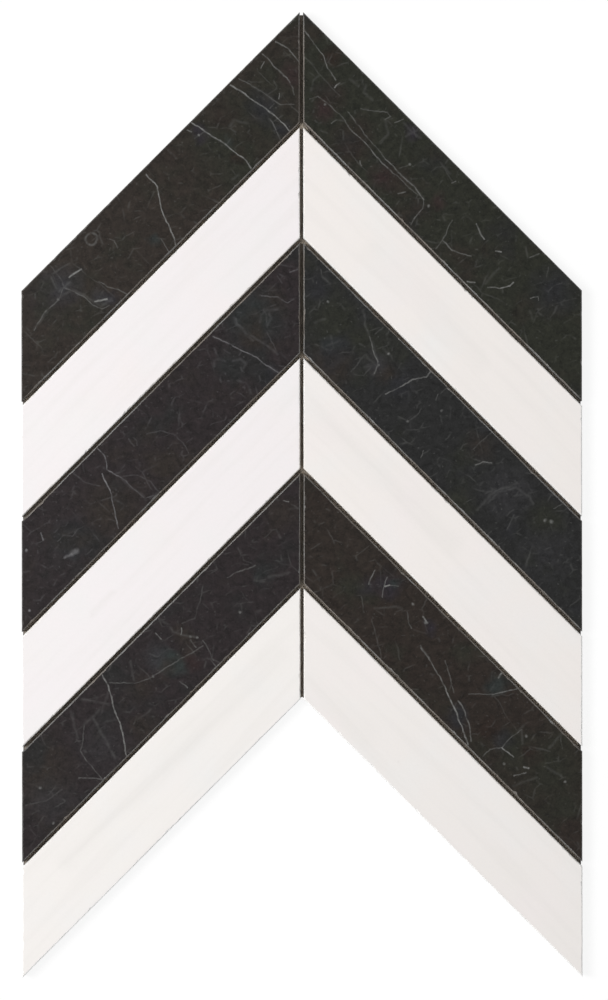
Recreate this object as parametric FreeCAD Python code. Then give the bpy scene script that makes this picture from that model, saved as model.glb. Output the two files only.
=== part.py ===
"""Chevron wall tile: a sheet of sawn marble strips, mitred along its middle, on a glass-fibre mounting net.

The sheet lies face up. X runs across its width and is zero on the mitre line, +Y points to the tip of the
chevrons, and Z is zero on the underside of the net. Lengths are in millimetres and angles in degrees.
"""
import FreeCAD, Part
import math
import os

# The sheet, as sold
SHEET_WIDTH = 251.0
ROWS = 6
STRIP_WIDTH = 35.0
JOINT_WIDTH = 1.5
MITRE_ANGLE = 45.0

# One sawn piece
PIECE_THICKNESS = 8.5
ARRIS = 0.5

# The adhesive that the backs are bedded in, and the net that is pressed into it
FILM_THICKNESS = 0.3
EDGE_SETBACK = 0.3
STRAND_PITCH = 5.8
STRAND_WIDTH = 0.9
STRAND_THICKNESS = 0.25

# A tool body runs this far past what it cuts
CUT_OVERRUN = 1.0

# The rows take these finishes in turn, from the tip down
ROW_FINISHES = ("black", "white")
SIDES = {"left": -1, "right": 1}

# Worked out from the sizes above
MITRE_RISE = math.tan(math.radians(MITRE_ANGLE))
MITRE_COSINE = math.cos(math.radians(MITRE_ANGLE))
HALF_WIDTH = SHEET_WIDTH / 2
HALF_JOINT = JOINT_WIDTH / 2
STRIP_DROP = STRIP_WIDTH / MITRE_COSINE
JOINT_DROP = JOINT_WIDTH / MITRE_COSINE
ROW_PITCH = STRIP_DROP + JOINT_DROP
FIELD_DROP = ROWS * ROW_PITCH - JOINT_DROP
TIP_DROP = HALF_JOINT * MITRE_RISE
SHEET_LENGTH = HALF_WIDTH * MITRE_RISE - TIP_DROP + FIELD_DROP
CREST = SHEET_LENGTH / 2 + TIP_DROP

LENGTHWISE_BASE = 0.0
CROSSWISE_BASE = LENGTHWISE_BASE + STRAND_THICKNESS
FILM_BASE = CROSSWISE_BASE + STRAND_THICKNESS
PIECE_BASE = FILM_BASE + FILM_THICKNESS
FACE_HEIGHT = PIECE_BASE + PIECE_THICKNESS


def slanted(distance, crest):
    """The Y of a slanted line at a distance from the mitre, where the line meets the mitre at crest."""
    return crest - distance * MITRE_RISE


def prism(corners, base, height):
    """An upright solid on a closed outline of (x, y) corners."""
    points = [FreeCAD.Vector(x, y, base) for x, y in corners]
    outline = Part.makePolygon(points + points[:1])
    return Part.Face(outline).extrude(FreeCAD.Vector(0, 0, height))


def face_edges(piece):
    """The edges that border the upper face of a piece."""
    return [edge for edge in piece.Edges if all(abs(v.Z - FACE_HEIGHT) < ARRIS / 2 for v in edge.Vertexes)]


def sawn_piece(side, row):
    """One strip of a half: a parallelogram with plumb sides, its polished face eased by a small arris."""
    upper = CREST - row * ROW_PITCH
    lower = upper - STRIP_DROP
    corners = [
        (side * HALF_JOINT, slanted(HALF_JOINT, upper)),
        (side * HALF_WIDTH, slanted(HALF_WIDTH, upper)),
        (side * HALF_WIDTH, slanted(HALF_WIDTH, lower)),
        (side * HALF_JOINT, slanted(HALF_JOINT, lower)),
    ]
    block = prism(corners, PIECE_BASE, PIECE_THICKNESS)
    return block.makeChamfer(ARRIS, face_edges(block))


def backing_outline():
    """The chevron that film and net are cut to, set back a little inside the outer edges of the pieces.

    Its tip is cut square across the mitre joint, so that nothing stands out between the two corners there.
    """
    reach = HALF_WIDTH - EDGE_SETBACK
    crest = CREST - EDGE_SETBACK / MITRE_COSINE
    notch = CREST - FIELD_DROP + EDGE_SETBACK / MITRE_COSINE
    return [
        (-HALF_JOINT, slanted(HALF_JOINT, crest)),
        (HALF_JOINT, slanted(HALF_JOINT, crest)),
        (reach, slanted(reach, crest)),
        (reach, slanted(reach, notch)),
        (0, notch),
        (-reach, slanted(reach, notch)),
        (-reach, slanted(reach, crest)),
    ]


def adhesive_film():
    """The thin bed of adhesive that closes the bottom of the open joints."""
    return prism(backing_outline(), FILM_BASE, FILM_THICKNESS)


def lengthwise_lines():
    """The X of each lengthwise strand: one on the mitre, and the rest a pitch apart on both sides of it."""
    reach = HALF_WIDTH - EDGE_SETBACK - STRAND_WIDTH / 2
    count = int(reach / STRAND_PITCH)
    return [step * STRAND_PITCH for step in range(-count, count + 1)]


def crosswise_lines():
    """The Y of each crosswise strand, a pitch apart, from half a pitch above the lower end of the backing."""
    ends = [y for _, y in backing_outline()]
    start = min(ends) + STRAND_PITCH / 2
    count = int((max(ends) - STRAND_WIDTH / 2 - start) / STRAND_PITCH)
    return [start + step * STRAND_PITCH for step in range(count + 1)]


def cut_to_backing(strands, base):
    """Full-length strands trimmed along the outline of the backing."""
    knife = prism(backing_outline(), base, STRAND_THICKNESS)
    trimmed = [solid for strand in strands for solid in strand.common(knife).Solids]
    return Part.makeCompound(trimmed)


def lengthwise_strands():
    """The lower layer of the net: flat strands that run from the tip to the notch."""
    length = SHEET_LENGTH + 2 * CUT_OVERRUN
    strands = [
        Part.makeBox(STRAND_WIDTH, length, STRAND_THICKNESS,
                     FreeCAD.Vector(x - STRAND_WIDTH / 2, -length / 2, LENGTHWISE_BASE))
        for x in lengthwise_lines()
    ]
    return cut_to_backing(strands, LENGTHWISE_BASE)


def crosswise_strands():
    """The upper layer of the net: flat strands that run from side to side, laid on the lengthwise ones."""
    length = SHEET_WIDTH + 2 * CUT_OVERRUN
    strands = [
        Part.makeBox(length, STRAND_WIDTH, STRAND_THICKNESS,
                     FreeCAD.Vector(-length / 2, y - STRAND_WIDTH / 2, CROSSWISE_BASE))
        for y in crosswise_lines()
    ]
    return cut_to_backing(strands, CROSSWISE_BASE)


def sheet():
    """Every piece of the sheet, by the name of its node."""
    nodes = {
        "adhesive_film": adhesive_film(),
        "net_lengthwise_strands": lengthwise_strands(),
        "net_crosswise_strands": crosswise_strands(),
    }
    for row in range(ROWS):
        finish = ROW_FINISHES[row % len(ROW_FINISHES)]
        for side_name, side in SIDES.items():
            nodes[f"{finish}_{side_name}_row{row + 1}"] = sawn_piece(side, row)
    return nodes


os.makedirs("parts", exist_ok=True)
for name, shape in sheet().items():
    shape.exportStep(f"parts/{name}.step")
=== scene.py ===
"""A chevron mosaic sheet of sawn and polished marble strips on a glass-fibre net, in a plain studio.

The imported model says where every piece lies. This script gives the strips their worn edges and their veins,
beds them in an uneven film of adhesive, weaves the net, and sets up the floor, the light and the camera.
Sizes and places on the sheet are in millimetres: X runs across it and is zero on the mitre, Y points to the
tip of the chevrons, and Z is zero on the underside of the net. The studio and the camera are in metres.
"""

import logging
import math
from dataclasses import dataclass, field
from enum import Enum
from typing import Any, Iterable, Mapping, Optional, Sequence, Union

import bmesh
import bpy
import numpy as np
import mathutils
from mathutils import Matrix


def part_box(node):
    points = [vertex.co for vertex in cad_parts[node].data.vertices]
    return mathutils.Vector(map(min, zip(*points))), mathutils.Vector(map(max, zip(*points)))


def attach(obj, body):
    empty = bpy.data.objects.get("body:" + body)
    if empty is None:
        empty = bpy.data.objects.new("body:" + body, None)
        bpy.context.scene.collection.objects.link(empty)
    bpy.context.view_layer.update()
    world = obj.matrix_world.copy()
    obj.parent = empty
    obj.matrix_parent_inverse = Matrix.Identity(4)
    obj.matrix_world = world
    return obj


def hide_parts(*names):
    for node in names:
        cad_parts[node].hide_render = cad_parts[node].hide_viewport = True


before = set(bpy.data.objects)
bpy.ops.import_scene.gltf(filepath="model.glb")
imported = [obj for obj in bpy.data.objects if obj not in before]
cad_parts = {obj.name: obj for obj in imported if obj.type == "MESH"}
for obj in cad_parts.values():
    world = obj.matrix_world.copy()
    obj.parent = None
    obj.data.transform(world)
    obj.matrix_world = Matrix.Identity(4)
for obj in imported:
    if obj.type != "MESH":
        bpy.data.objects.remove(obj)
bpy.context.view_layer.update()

LOG = logging.getLogger("chevron_sheet")
MM = 0.001
BODY = "root"
ROWS = 6

# The joints lean by 45 degrees, so this is both the sine and the cosine of their slant
SLANT = math.sqrt(0.5)
# The angle in degrees between the normals of two faces from which their edge stays sharp
SHARP_ANGLE = 75.0
# A noise lies around its middle and strays from it by about a quarter, which its gain brings to one
NOISE_MIDDLE = 0.5
NOISE_GAIN = 4.0
# The colour sockets of a Mix node, by number, because their names repeat
MIX_FACTOR, MIX_FIRST, MIX_SECOND, MIX_RESULT = 0, 6, 7, 2

Point = tuple[float, float]
Span = tuple[float, float]
Vector = tuple[float, float, float]
Colour = tuple[float, float, float]


class Side(Enum):
    """The two halves of the sheet, by the sign of their X."""

    LEFT = -1
    RIGHT = 1


class Stone(Enum):
    """The two marbles, by the name of their material slot."""

    BLACK = "black_marble"
    WHITE = "white_marble"


@dataclass(frozen=True)
class Value:
    """A socket of a node tree that takes part in arithmetic: each operator adds its Math node."""

    graph: "Graph"
    socket: bpy.types.NodeSocket

    def __add__(self, other: "Operand") -> "Value":
        """The sum with a number or another value."""
        return self.graph.math("ADD", self, other)

    def __radd__(self, other: float) -> "Value":
        """The sum with a number on the left."""
        return self.graph.math("ADD", other, self)

    def __sub__(self, other: "Operand") -> "Value":
        """The difference from a number or another value."""
        return self.graph.math("SUBTRACT", self, other)

    def __rsub__(self, other: float) -> "Value":
        """The difference from a number on the left."""
        return self.graph.math("SUBTRACT", other, self)

    def __mul__(self, other: "Operand") -> "Value":
        """The product with a number or another value."""
        return self.graph.math("MULTIPLY", self, other)

    def __rmul__(self, other: float) -> "Value":
        """The product with a number on the left."""
        return self.graph.math("MULTIPLY", other, self)

    def __truediv__(self, other: "Operand") -> "Value":
        """The quotient by a number or another value."""
        return self.graph.math("DIVIDE", self, other)

    def __neg__(self) -> "Value":
        """The value with its sign turned."""
        return self.graph.math("MULTIPLY", self, -1.0)

    def __abs__(self) -> "Value":
        """The value without its sign."""
        return self.graph.math("ABSOLUTE", self)

    def __lt__(self, other: "Operand") -> "Value":
        """One where the value is below the other, and else zero."""
        return self.graph.math("LESS_THAN", self, other)


Operand = Union[float, Value]
Inputs = Mapping[Union[str, int], Any]


class Graph:
    """Adds nodes to one node tree and links them."""

    def __init__(self, tree: bpy.types.NodeTree) -> None:
        """Empties the tree.

        Args:
            tree: The material's, world's or Geometry Nodes' tree to fill.
        """
        self.tree = tree
        tree.nodes.clear()

    def node(self, kind: str, inputs: Optional[Inputs] = None,
             settings: Optional[Mapping[str, Any]] = None) -> bpy.types.Node:
        """Adds a node.

        Args:
            kind: The node's type.
            inputs: A number, colour, vector, name or Value for each socket, by the socket's name or number.
            settings: Its own settings, such as a Math node's operation, which are set before the inputs.

        Returns:
            The new node.
        """
        made = self.tree.nodes.new(kind)
        for name, setting in (settings or {}).items():
            setattr(made, name, setting)
        for key, given in (inputs or {}).items():
            if isinstance(given, Value):
                self.tree.links.new(given.socket, made.inputs[key])
            else:
                made.inputs[key].default_value = given
        return made

    def value(self, kind: str, inputs: Optional[Inputs] = None, settings: Optional[Mapping[str, Any]] = None,
              output: Union[str, int] = 0) -> Value:
        """Adds a node and returns one of its outputs.

        Args:
            kind: The node's type.
            inputs: As for node.
            settings: As for node.
            output: The output's name or number.

        Returns:
            The output.
        """
        return Value(self, self.node(kind, inputs, settings).outputs[output])

    def math(self, operation: str, *operands: Operand, clamp: bool = False) -> Value:
        """Adds a Math node.

        Args:
            operation: What it works out.
            operands: Its inputs, in order.
            clamp: Whether the result is kept between zero and one.

        Returns:
            The result.
        """
        settings = {"operation": operation, "use_clamp": clamp}
        return self.value("ShaderNodeMath", dict(enumerate(operands)), settings)

    def vector(self, operation: str, *operands: Any) -> Value:
        """Adds a Vector Math node.

        Args:
            operation: What it works out.
            operands: Its vector inputs, in order.

        Returns:
            The result, which is a number for a dot product or a distance.
        """
        output = "Value" if operation in ("DOT_PRODUCT", "DISTANCE") else "Vector"
        return self.value("ShaderNodeVectorMath", dict(enumerate(operands)), {"operation": operation}, output)

    def scaled(self, vector: Value, factor: Operand) -> Value:
        """The vector or colour times a number."""
        return self.value("ShaderNodeVectorMath", {0: vector, "Scale": factor}, {"operation": "SCALE"})

    def combined(self, x: Operand = 0.0, y: Operand = 0.0, z: Operand = 0.0) -> Value:
        """A vector from its three parts."""
        return self.value("ShaderNodeCombineXYZ", {0: x, 1: y, 2: z})

    def parts(self, vector: Value) -> tuple[Value, ...]:
        """The three parts of a vector or colour."""
        split = self.node("ShaderNodeSeparateXYZ", {0: vector})
        return tuple(Value(self, part) for part in split.outputs)

    def ramp(self, value: Value, low: float, high: float) -> Value:
        """The value stretched so that low gives zero and high gives one, and kept between them."""
        slope = 1.0 / (high - low)
        return self.math("MULTIPLY_ADD", value, slope, -low * slope, clamp=True)

    def mix(self, factor: Operand, first: Union[Colour, Value], second: Union[Colour, Value]) -> Value:
        """Mixes two colours.

        Args:
            factor: The share of the second colour.
            first: A colour, or a value that carries one.
            second: A colour, or a value that carries one.

        Returns:
            The mixed colour.
        """
        ends = [end if isinstance(end, Value) else (*end, 1.0) for end in (first, second)]
        inputs = {MIX_FACTOR: factor, MIX_FIRST: ends[0], MIX_SECOND: ends[1]}
        return self.value("ShaderNodeMix", inputs, {"data_type": "RGBA"}, MIX_RESULT)


@dataclass(frozen=True)
class Grain:
    """Soft noise around a half, with spots about as large as its size."""

    size: float
    detail: float = 2.0

    def at(self, graph: Graph, place: Value) -> Value:
        """The noise at a place."""
        inputs = {"Vector": place, "Scale": 1 / self.size, "Detail": self.detail}
        return graph.value("ShaderNodeTexNoise", inputs, output="Fac")


@dataclass(frozen=True)
class Mottle(Grain):
    """Soft noise stretched so that its low gives zero and its high gives one, and kept between them."""

    low: float = 0.0
    high: float = 1.0

    def at(self, graph: Graph, place: Value) -> Value:
        """The stretched noise at a place."""
        return graph.ramp(super().at(graph, place), self.low, self.high)


@dataclass(frozen=True)
class Drift:
    """A stray from a place by about its reach, which changes over about its size."""

    size: float
    reach: float
    detail: float = 1.0

    def at(self, graph: Graph, place: Value) -> Value:
        """The stray at a place, as a vector around zero.

        Args:
            graph: The tree to add to.
            place: The place.

        Returns:
            The vector.
        """
        inputs = {"Vector": place, "Scale": 1 / self.size, "Detail": self.detail}
        cloud = graph.value("ShaderNodeTexNoise", inputs, output="Color")
        return graph.scaled(graph.vector("SUBTRACT", cloud, (NOISE_MIDDLE,) * 3), self.reach * NOISE_GAIN)


class Surface(Graph):
    """The node tree of a new material with one Principled shader."""

    def __init__(self, name: str, **constants: float) -> None:
        """Makes the material.

        Args:
            name: The material's name.
            constants: What is the same all over, by the name of the shader's socket with _ for a space.
        """
        self.material = bpy.data.materials.new(name)
        self.material.use_nodes = True
        super().__init__(self.material.node_tree)
        self.shader = self.node("ShaderNodeBsdfPrincipled")
        for constant, amount in constants.items():
            self.shader.inputs[constant.replace("_", " ")].default_value = amount
        self.place = self.scaled(self.value("ShaderNodeTexCoord", output="Object"), 1 / MM)

    def strayed(self, *drifts: Drift) -> Value:
        """The place on the sheet, moved by some drifts and with no height.

        Args:
            drifts: The drifts, which all depend on the place before it is moved.

        Returns:
            The moved place.
        """
        moved = self.place
        for drift in drifts:
            moved = self.vector("ADD", moved, drift.at(self, self.place))
        return self.vector("MULTIPLY", moved, (1.0, 1.0, 0.0))

    def finished(self, colour: Value, roughness: Operand, height: Value, depth: float) -> bpy.types.Material:
        """Links the shader and returns the material.

        Args:
            colour: The base colour.
            roughness: The roughness.
            height: The relief, from zero to one.
            depth: How deep a relief of one is, in millimetres.

        Returns:
            The material.
        """
        links = self.tree.links
        links.new(colour.socket, self.shader.inputs["Base Color"])
        if isinstance(roughness, Value):
            links.new(roughness.socket, self.shader.inputs["Roughness"])
        else:
            self.shader.inputs["Roughness"].default_value = roughness
        bump = self.value("ShaderNodeBump", {"Height": height, "Distance": depth * MM})
        links.new(bump.socket, self.shader.inputs["Normal"])
        self.node("ShaderNodeOutputMaterial", {"Surface": Value(self, self.shader.outputs[0])})
        return self.material


class Trace(Enum):
    """Kinds of vein and fleck: half the width, the soft fringe beside it, and how strongly it shows."""

    FAINT = (0.10, 0.36, 0.22)
    FINE = (0.12, 0.27, 0.40)
    CLEAR = (0.15, 0.25, 0.61)
    STRONG = (0.20, 0.26, 0.87)
    BRIGHT = (0.26, 0.30, 0.90)
    FLECK = (0.40, 0.46, 0.72)
    SPOT = (0.62, 0.55, 0.66)
    WISP = (0.25, 0.70, 0.15)
    RING = (0.30, 0.50, 0.30)
    LENS = (0.80, 0.75, 0.57)
    BAND = (0.70, 1.50, 0.60)
    MIST = (3.20, 4.00, 0.25)
    HAZE = (3.20, 4.00, 0.40)


@dataclass(frozen=True)
class Vein:
    """A vein through the given points of the sheet, or a fleck where it has one point."""

    trace: Trace
    points: tuple[Point, ...]

    def distance(self, graph: Graph, place: Value) -> Value:
        """How far the place on the face is from the vein.

        Args:
            graph: The tree to add to.
            place: The place, with no height.

        Returns:
            The distance in millimetres.
        """
        if len(self.points) == 1:
            return graph.vector("DISTANCE", place, (*self.points[0], 0.0))
        nearest: Optional[Value] = None
        for (x0, y0), (x1, y1) in zip(self.points, self.points[1:]):
            dx, dy = x1 - x0, y1 - y0
            square = dx * dx + dy * dy
            along = graph.vector("DOT_PRODUCT", place, (dx / square, dy / square, 0.0))
            share = graph.math("SUBTRACT", along, (x0 * dx + y0 * dy) / square, clamp=True)
            foot = graph.vector("MULTIPLY_ADD", share, (dx, dy, 0.0), (x0, y0, 0.0))
            gap = graph.vector("DISTANCE", place, foot)
            nearest = gap if nearest is None else graph.math("MINIMUM", nearest, gap)
        return nearest

    def shown(self, graph: Graph, place: Value) -> Value:
        """How strongly the vein shows at a place.

        Args:
            graph: The tree to add to.
            place: The place, with no height.

        Returns:
            From zero to one.
        """
        half_width, fringe, strength = self.trace.value
        edge = graph.ramp(self.distance(graph, place), half_width + fringe, half_width - fringe / 2)
        return edge * strength


@dataclass(frozen=True)
class RingVein(Vein):
    """A round fossil: a vein at a set radius about its one point."""

    radius: float = 2.6

    def distance(self, graph: Graph, place: Value) -> Value:
        """How far the place is from the ring, in millimetres."""
        return abs(super().distance(graph, place) - self.radius)


def veins(trace: Trace, *lines: tuple[Point, ...]) -> tuple[Vein, ...]:
    """Veins of one kind, one through the points of each line."""
    return tuple(Vein(trace, line) for line in lines)


def strongest(graph: Graph, drawn: Iterable[Vein], place: Value) -> Optional[Value]:
    """How strongly the strongest of some veins shows at a place.

    Args:
        graph: The tree to add to.
        drawn: The veins.
        place: The place on the face, with no height.

    Returns:
        From zero to one, or nothing where there are no veins.
    """
    most: Optional[Value] = None
    for one in drawn:
        shown = one.shown(graph, place)
        most = shown if most is None else graph.math("MAXIMUM", most, shown)
    return most


class Tint(Enum):
    """The dark tints of the black marble, as base colours."""

    BROWN = (0.0238, 0.0185, 0.0148)
    GREEN = (0.0180, 0.0190, 0.0132)
    PURPLE = (0.0196, 0.0150, 0.0159)
    GREY = (0.0159, 0.0160, 0.0159)
    RUSSET = (0.0208, 0.0152, 0.0121)
    BLUE = (0.0172, 0.0174, 0.0200)
    TEAL = (0.0186, 0.0214, 0.0212)
    RED = (0.0265, 0.0150, 0.0150)
    MAROON = (0.0190, 0.0120, 0.0090)
    SLATE = (0.0282, 0.0276, 0.0300)
    JADE = (0.0215, 0.0265, 0.0255)
    VIOLET = (0.0200, 0.0168, 0.0225)


@dataclass(frozen=True)
class Stain:
    """A cloud of another tint in the stone, full in its core and gone at its rim, as shares of its radius."""

    tint: Tint
    centre: Point
    radius: float
    strength: float = 0.85
    core: float = 0.3
    rim: float = 1.3

    def shown(self, graph: Graph, place: Value) -> Value:
        """How strongly the stain shows at a place, from zero to one."""
        gap = graph.vector("DISTANCE", place, (*self.centre, 0.0))
        return graph.ramp(gap, self.radius * self.rim, self.radius * self.core) * self.strength


@dataclass(frozen=True)
class CrackFamily:
    """Healed cracks in the stone: broken hairlines that mostly run along one bearing."""

    bearing: float
    spacing: float
    breaks: Mottle
    strength: float
    half_width: float = 0.07
    fringe: float = 0.36
    drawn_out: float = 0.6

    def shown(self, graph: Graph, place: Value) -> Value:
        """How strongly the hairlines show at a place.

        Args:
            graph: The tree to add to.
            place: The place, with no height.

        Returns:
            From zero to one.
        """
        turn = math.radians(self.bearing)
        along = graph.vector("DOT_PRODUCT", place, (math.cos(turn), math.sin(turn), 0.0))
        across = graph.vector("DOT_PRODUCT", place, (-math.sin(turn), math.cos(turn), 0.0))
        spread = graph.combined(along * self.drawn_out, across)
        cells = graph.value("ShaderNodeTexVoronoi", {"Vector": spread, "Scale": 1 / self.spacing},
                            {"feature": "DISTANCE_TO_EDGE", "voronoi_dimensions": "2D"}, "Distance")
        edge = graph.ramp(cells * self.spacing, self.half_width + self.fringe, self.half_width)
        return edge * self.breaks.at(graph, spread) * self.strength


@dataclass(frozen=True)
class BlackMarble:
    """Polished black marble: clouds of dark tints, fine specks, hairlines and pale veins."""

    name: str
    ground: Tint
    flecks: tuple[Tint, Tint]
    veins: tuple[Vein, ...]
    stains: tuple[Stain, ...]
    vein_colour: Colour = (0.205, 0.205, 0.198)
    vein_drifts: tuple[Drift, ...] = (Drift(size=9.0, reach=0.55), Drift(size=1.7, reach=0.16))
    vein_gaps: Mottle = Mottle(size=2.2, low=0.15, high=0.62)
    crack_families: tuple[CrackFamily, ...] = (
        CrackFamily(bearing=-52.0, spacing=17.0, breaks=Mottle(size=9.0, low=0.52, high=0.66), strength=0.13),
        CrackFamily(bearing=24.0, spacing=5.5, breaks=Mottle(size=4.0, low=0.52, high=0.66), strength=0.12),
    )
    specks: Mottle = Mottle(size=1.2, detail=0.0, low=0.75, high=0.90)
    speck_strength: float = 0.16
    stain_drift: Drift = Drift(size=8.0, reach=2.5, detail=3.0)
    clouds: Drift = Drift(size=22.0, reach=0.25, detail=4.0)
    cloud_span: Span = (0.04, 0.20)
    cloud_strength: float = 0.8
    fine_grain: Grain = Grain(size=0.8, detail=1.0)
    fine_strength: float = 0.9
    coarse_grain: Grain = Grain(size=3.2, detail=3.0)
    coarse_strength: float = 1.5
    grain_loss: float = 0.2
    ripple: Grain = Grain(size=2.4)
    ripple_depth: float = 0.004
    roughness: float = 0.11
    vein_roughness: float = 0.12
    ripple_roughness: float = 0.06

    def material(self) -> bpy.types.Material:
        """The material of the polished face.

        Returns:
            The material.
        """
        paint = Surface(f"polished_{self.name}", IOR=1.5, Specular_IOR_Level=0.5)
        marks = self._marks(paint)
        colour = paint.mix(marks, self._tone(paint), self.vein_colour)
        ripple = self.ripple.at(paint, paint.place)
        roughness = self.roughness + marks * self.vein_roughness + ripple * self.ripple_roughness
        return paint.finished(colour, roughness, ripple, self.ripple_depth)

    def _marks(self, paint: Surface) -> Value:
        """How strongly veins, hairlines and specks show together.

        Args:
            paint: The material's tree.

        Returns:
            From zero to one.
        """
        bent = paint.strayed(*self.vein_drifts)
        drawn = strongest(paint, self.veins, bent) * self.vein_gaps.at(paint, paint.place)
        marks = paint.math("MAXIMUM", drawn, self.specks.at(paint, paint.place) * self.speck_strength)
        for family in self.crack_families:
            marks = paint.math("MAXIMUM", marks, family.shown(paint, bent))
        return marks

    def _tone(self, paint: Surface) -> Value:
        """The dark ground of the stone, with its stains, clouds and grain.

        Args:
            paint: The material's tree.

        Returns:
            The colour.
        """
        tone = self.ground.value
        loose = paint.strayed(self.stain_drift)
        for stain in self.stains:
            tone = paint.mix(stain.shown(paint, loose), tone, stain.tint.value)
        for cloud, fleck in zip(paint.parts(self.clouds.at(paint, paint.place)), self.flecks):
            tone = paint.mix(paint.ramp(cloud, *self.cloud_span) * self.cloud_strength, tone, fleck.value)
        fine = self.fine_grain.at(paint, paint.place) * self.fine_strength
        coarse = self.coarse_grain.at(paint, loose) * self.coarse_strength
        return paint.scaled(tone, fine + coarse - self.grain_loss)


class Cast(Enum):
    """The casts of the white marble, as base colours."""

    LILAC = (0.878, 0.838, 0.843)
    CREAM = (0.876, 0.834, 0.806)
    PEARL = (0.880, 0.850, 0.823)
    IVORY = (0.866, 0.830, 0.804)


@dataclass(frozen=True)
class WhiteMarble:
    """Polished white marble: barely tinted clouds and soft grey streaks along the strip."""

    name: str
    side: Side
    cast: Cast
    streaks: tuple[Vein, ...] = ()
    rosy: Colour = (0.884, 0.830, 0.820)
    cool: Colour = (0.850, 0.842, 0.832)
    grey: Colour = (0.740, 0.715, 0.690)
    clouds: Drift = Drift(size=30.0, reach=0.25, detail=3.0)
    cloud_span: Span = (0.0, 0.3)
    cloud_strength: float = 0.7
    layers: Grain = Grain(size=5.0, detail=4.0)
    layer_squeeze: float = 0.07
    layer_span: Span = (0.48, 0.75)
    layer_strength: float = 0.22
    streak_drift: Drift = Drift(size=14.0, reach=1.6, detail=2.0)
    grain: Grain = Grain(size=0.9)
    grain_floor: float = 0.985
    grain_strength: float = 0.03
    grain_depth: float = 0.004
    roughness: float = 0.13
    grain_roughness: float = 0.08

    def material(self) -> bpy.types.Material:
        """The material of the polished face.

        Returns:
            The material.
        """
        paint = Surface(f"polished_{self.name}", IOR=1.5, Specular_IOR_Level=0.5)
        along = paint.vector("DOT_PRODUCT", paint.place, (self.side.value * SLANT, -SLANT, 0.0))
        across = paint.vector("DOT_PRODUCT", paint.place, (self.side.value * SLANT, SLANT, 0.0))
        layers = self.layers.at(paint, paint.combined(along * self.layer_squeeze, across))
        colour = self.cast.value
        for cloud, tint in zip(paint.parts(self.clouds.at(paint, paint.place)), (self.rosy, self.cool)):
            colour = paint.mix(paint.ramp(cloud, *self.cloud_span) * self.cloud_strength, colour, tint)
        colour = paint.mix(paint.ramp(layers, *self.layer_span) * self.layer_strength, colour, self.grey)
        drawn = strongest(paint, self.streaks, paint.strayed(self.streak_drift))
        if drawn is not None:
            colour = paint.mix(drawn * layers, colour, self.grey)
        grain = self.grain.at(paint, paint.place)
        colour = paint.scaled(colour, self.grain_floor + grain * self.grain_strength)
        return paint.finished(colour, self.roughness + grain * self.grain_roughness, grain, self.grain_depth)


@dataclass(frozen=True)
class SawnStone:
    """Stone as the saw and the edge grinder leave it: dull, with dust, saw lines and smears of adhesive. On
    the white strips the smears hold painted shade and the outer edges painted light.
    """

    name: str
    dust: Colour
    warm_dust: Colour
    stone: Colour
    smear_and_painted_shade: Colour
    # The colour near the outer sides, which on the white strips is painted light
    wiped_and_painted_light: Colour
    roughness: float = 0.55
    saw_lines: Grain = Grain(size=1.0, detail=3.0)
    saw_squeeze: Vector = (0.12, 0.12, 2.6)
    crumbs: Grain = Grain(size=0.9)
    patches: Grain = Grain(size=7.0)
    line_dust: float = 0.35
    crumb_dust: float = 0.35
    patch_dust: float = 0.30
    dust_span: Span = (0.38, 0.54)
    warmth: Mottle = Mottle(size=16.0, detail=3.0, low=0.42, high=0.58)
    shelter_span: Span = (0.3, 2.5)
    wiped_and_painted_light_strength: float = 0.75
    joint_smear: float = 5.4
    rim_smear: float = 0.9
    smear_swing: float = 3.0
    smear_fade: float = 1.4
    smear_strength: float = 0.6
    crumb_strength: float = 0.5
    line_relief: float = 0.6
    crumb_relief: float = 0.4
    relief_depth: float = 0.06

    def material(self, layout: "SheetLayout") -> bpy.types.Material:
        """The material of the arrises, the sides and the back.

        Args:
            layout: The sheet's lines, which tell the walls of the joints from the outer sides.

        Returns:
            The material, smeared high in the joints and low around the sheet.
        """
        paint = Surface(f"sawn_{self.name}", IOR=1.5, Specular_IOR_Level=0.4)
        lines = self.saw_lines.at(paint, paint.vector("MULTIPLY", paint.place, self.saw_squeeze))
        crumbs = self.crumbs.at(paint, paint.place)
        patches = self.patches.at(paint, paint.place)
        dusty = lines * self.line_dust + crumbs * self.crumb_dust + patches * self.patch_dust
        dust = paint.mix(self.warmth.at(paint, paint.place), self.dust, self.warm_dust)
        colour = paint.mix(paint.ramp(dusty, *self.dust_span), self.stone, dust)
        x, y, height = paint.parts(paint.place)
        level = y + abs(x)
        from_slants = paint.math("MINIMUM", layout.crest - level, level - layout.notch)
        sheltered = paint.ramp(paint.math("MINIMUM", layout.reach - abs(x), from_slants), *self.shelter_span)
        # Near the outer sides the colour turns darker on the black strips. On the white strips it turns paler
        # than the clean stone: painted light that lifts their shade near the floor
        colour = paint.mix((1.0 - sheltered) * self.wiped_and_painted_light_strength, colour, self.wiped_and_painted_light)
        climb = sheltered * (self.joint_smear - self.rim_smear) + self.rim_smear
        over = height + patches * self.smear_swing - self.smear_swing / 2 - climb
        smeared = paint.ramp(over, 0.0, -self.smear_fade)
        # The smear of adhesive climbs the walls, high in the joints. On the white strips its colour is darker
        # than the adhesive itself: painted shade in the joints
        colour = paint.mix(smeared * (crumbs * self.crumb_strength + self.smear_strength), colour, self.smear_and_painted_shade)
        relief = lines * self.line_relief + crumbs * self.crumb_relief
        return paint.finished(colour, self.roughness, relief, self.relief_depth)


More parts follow.
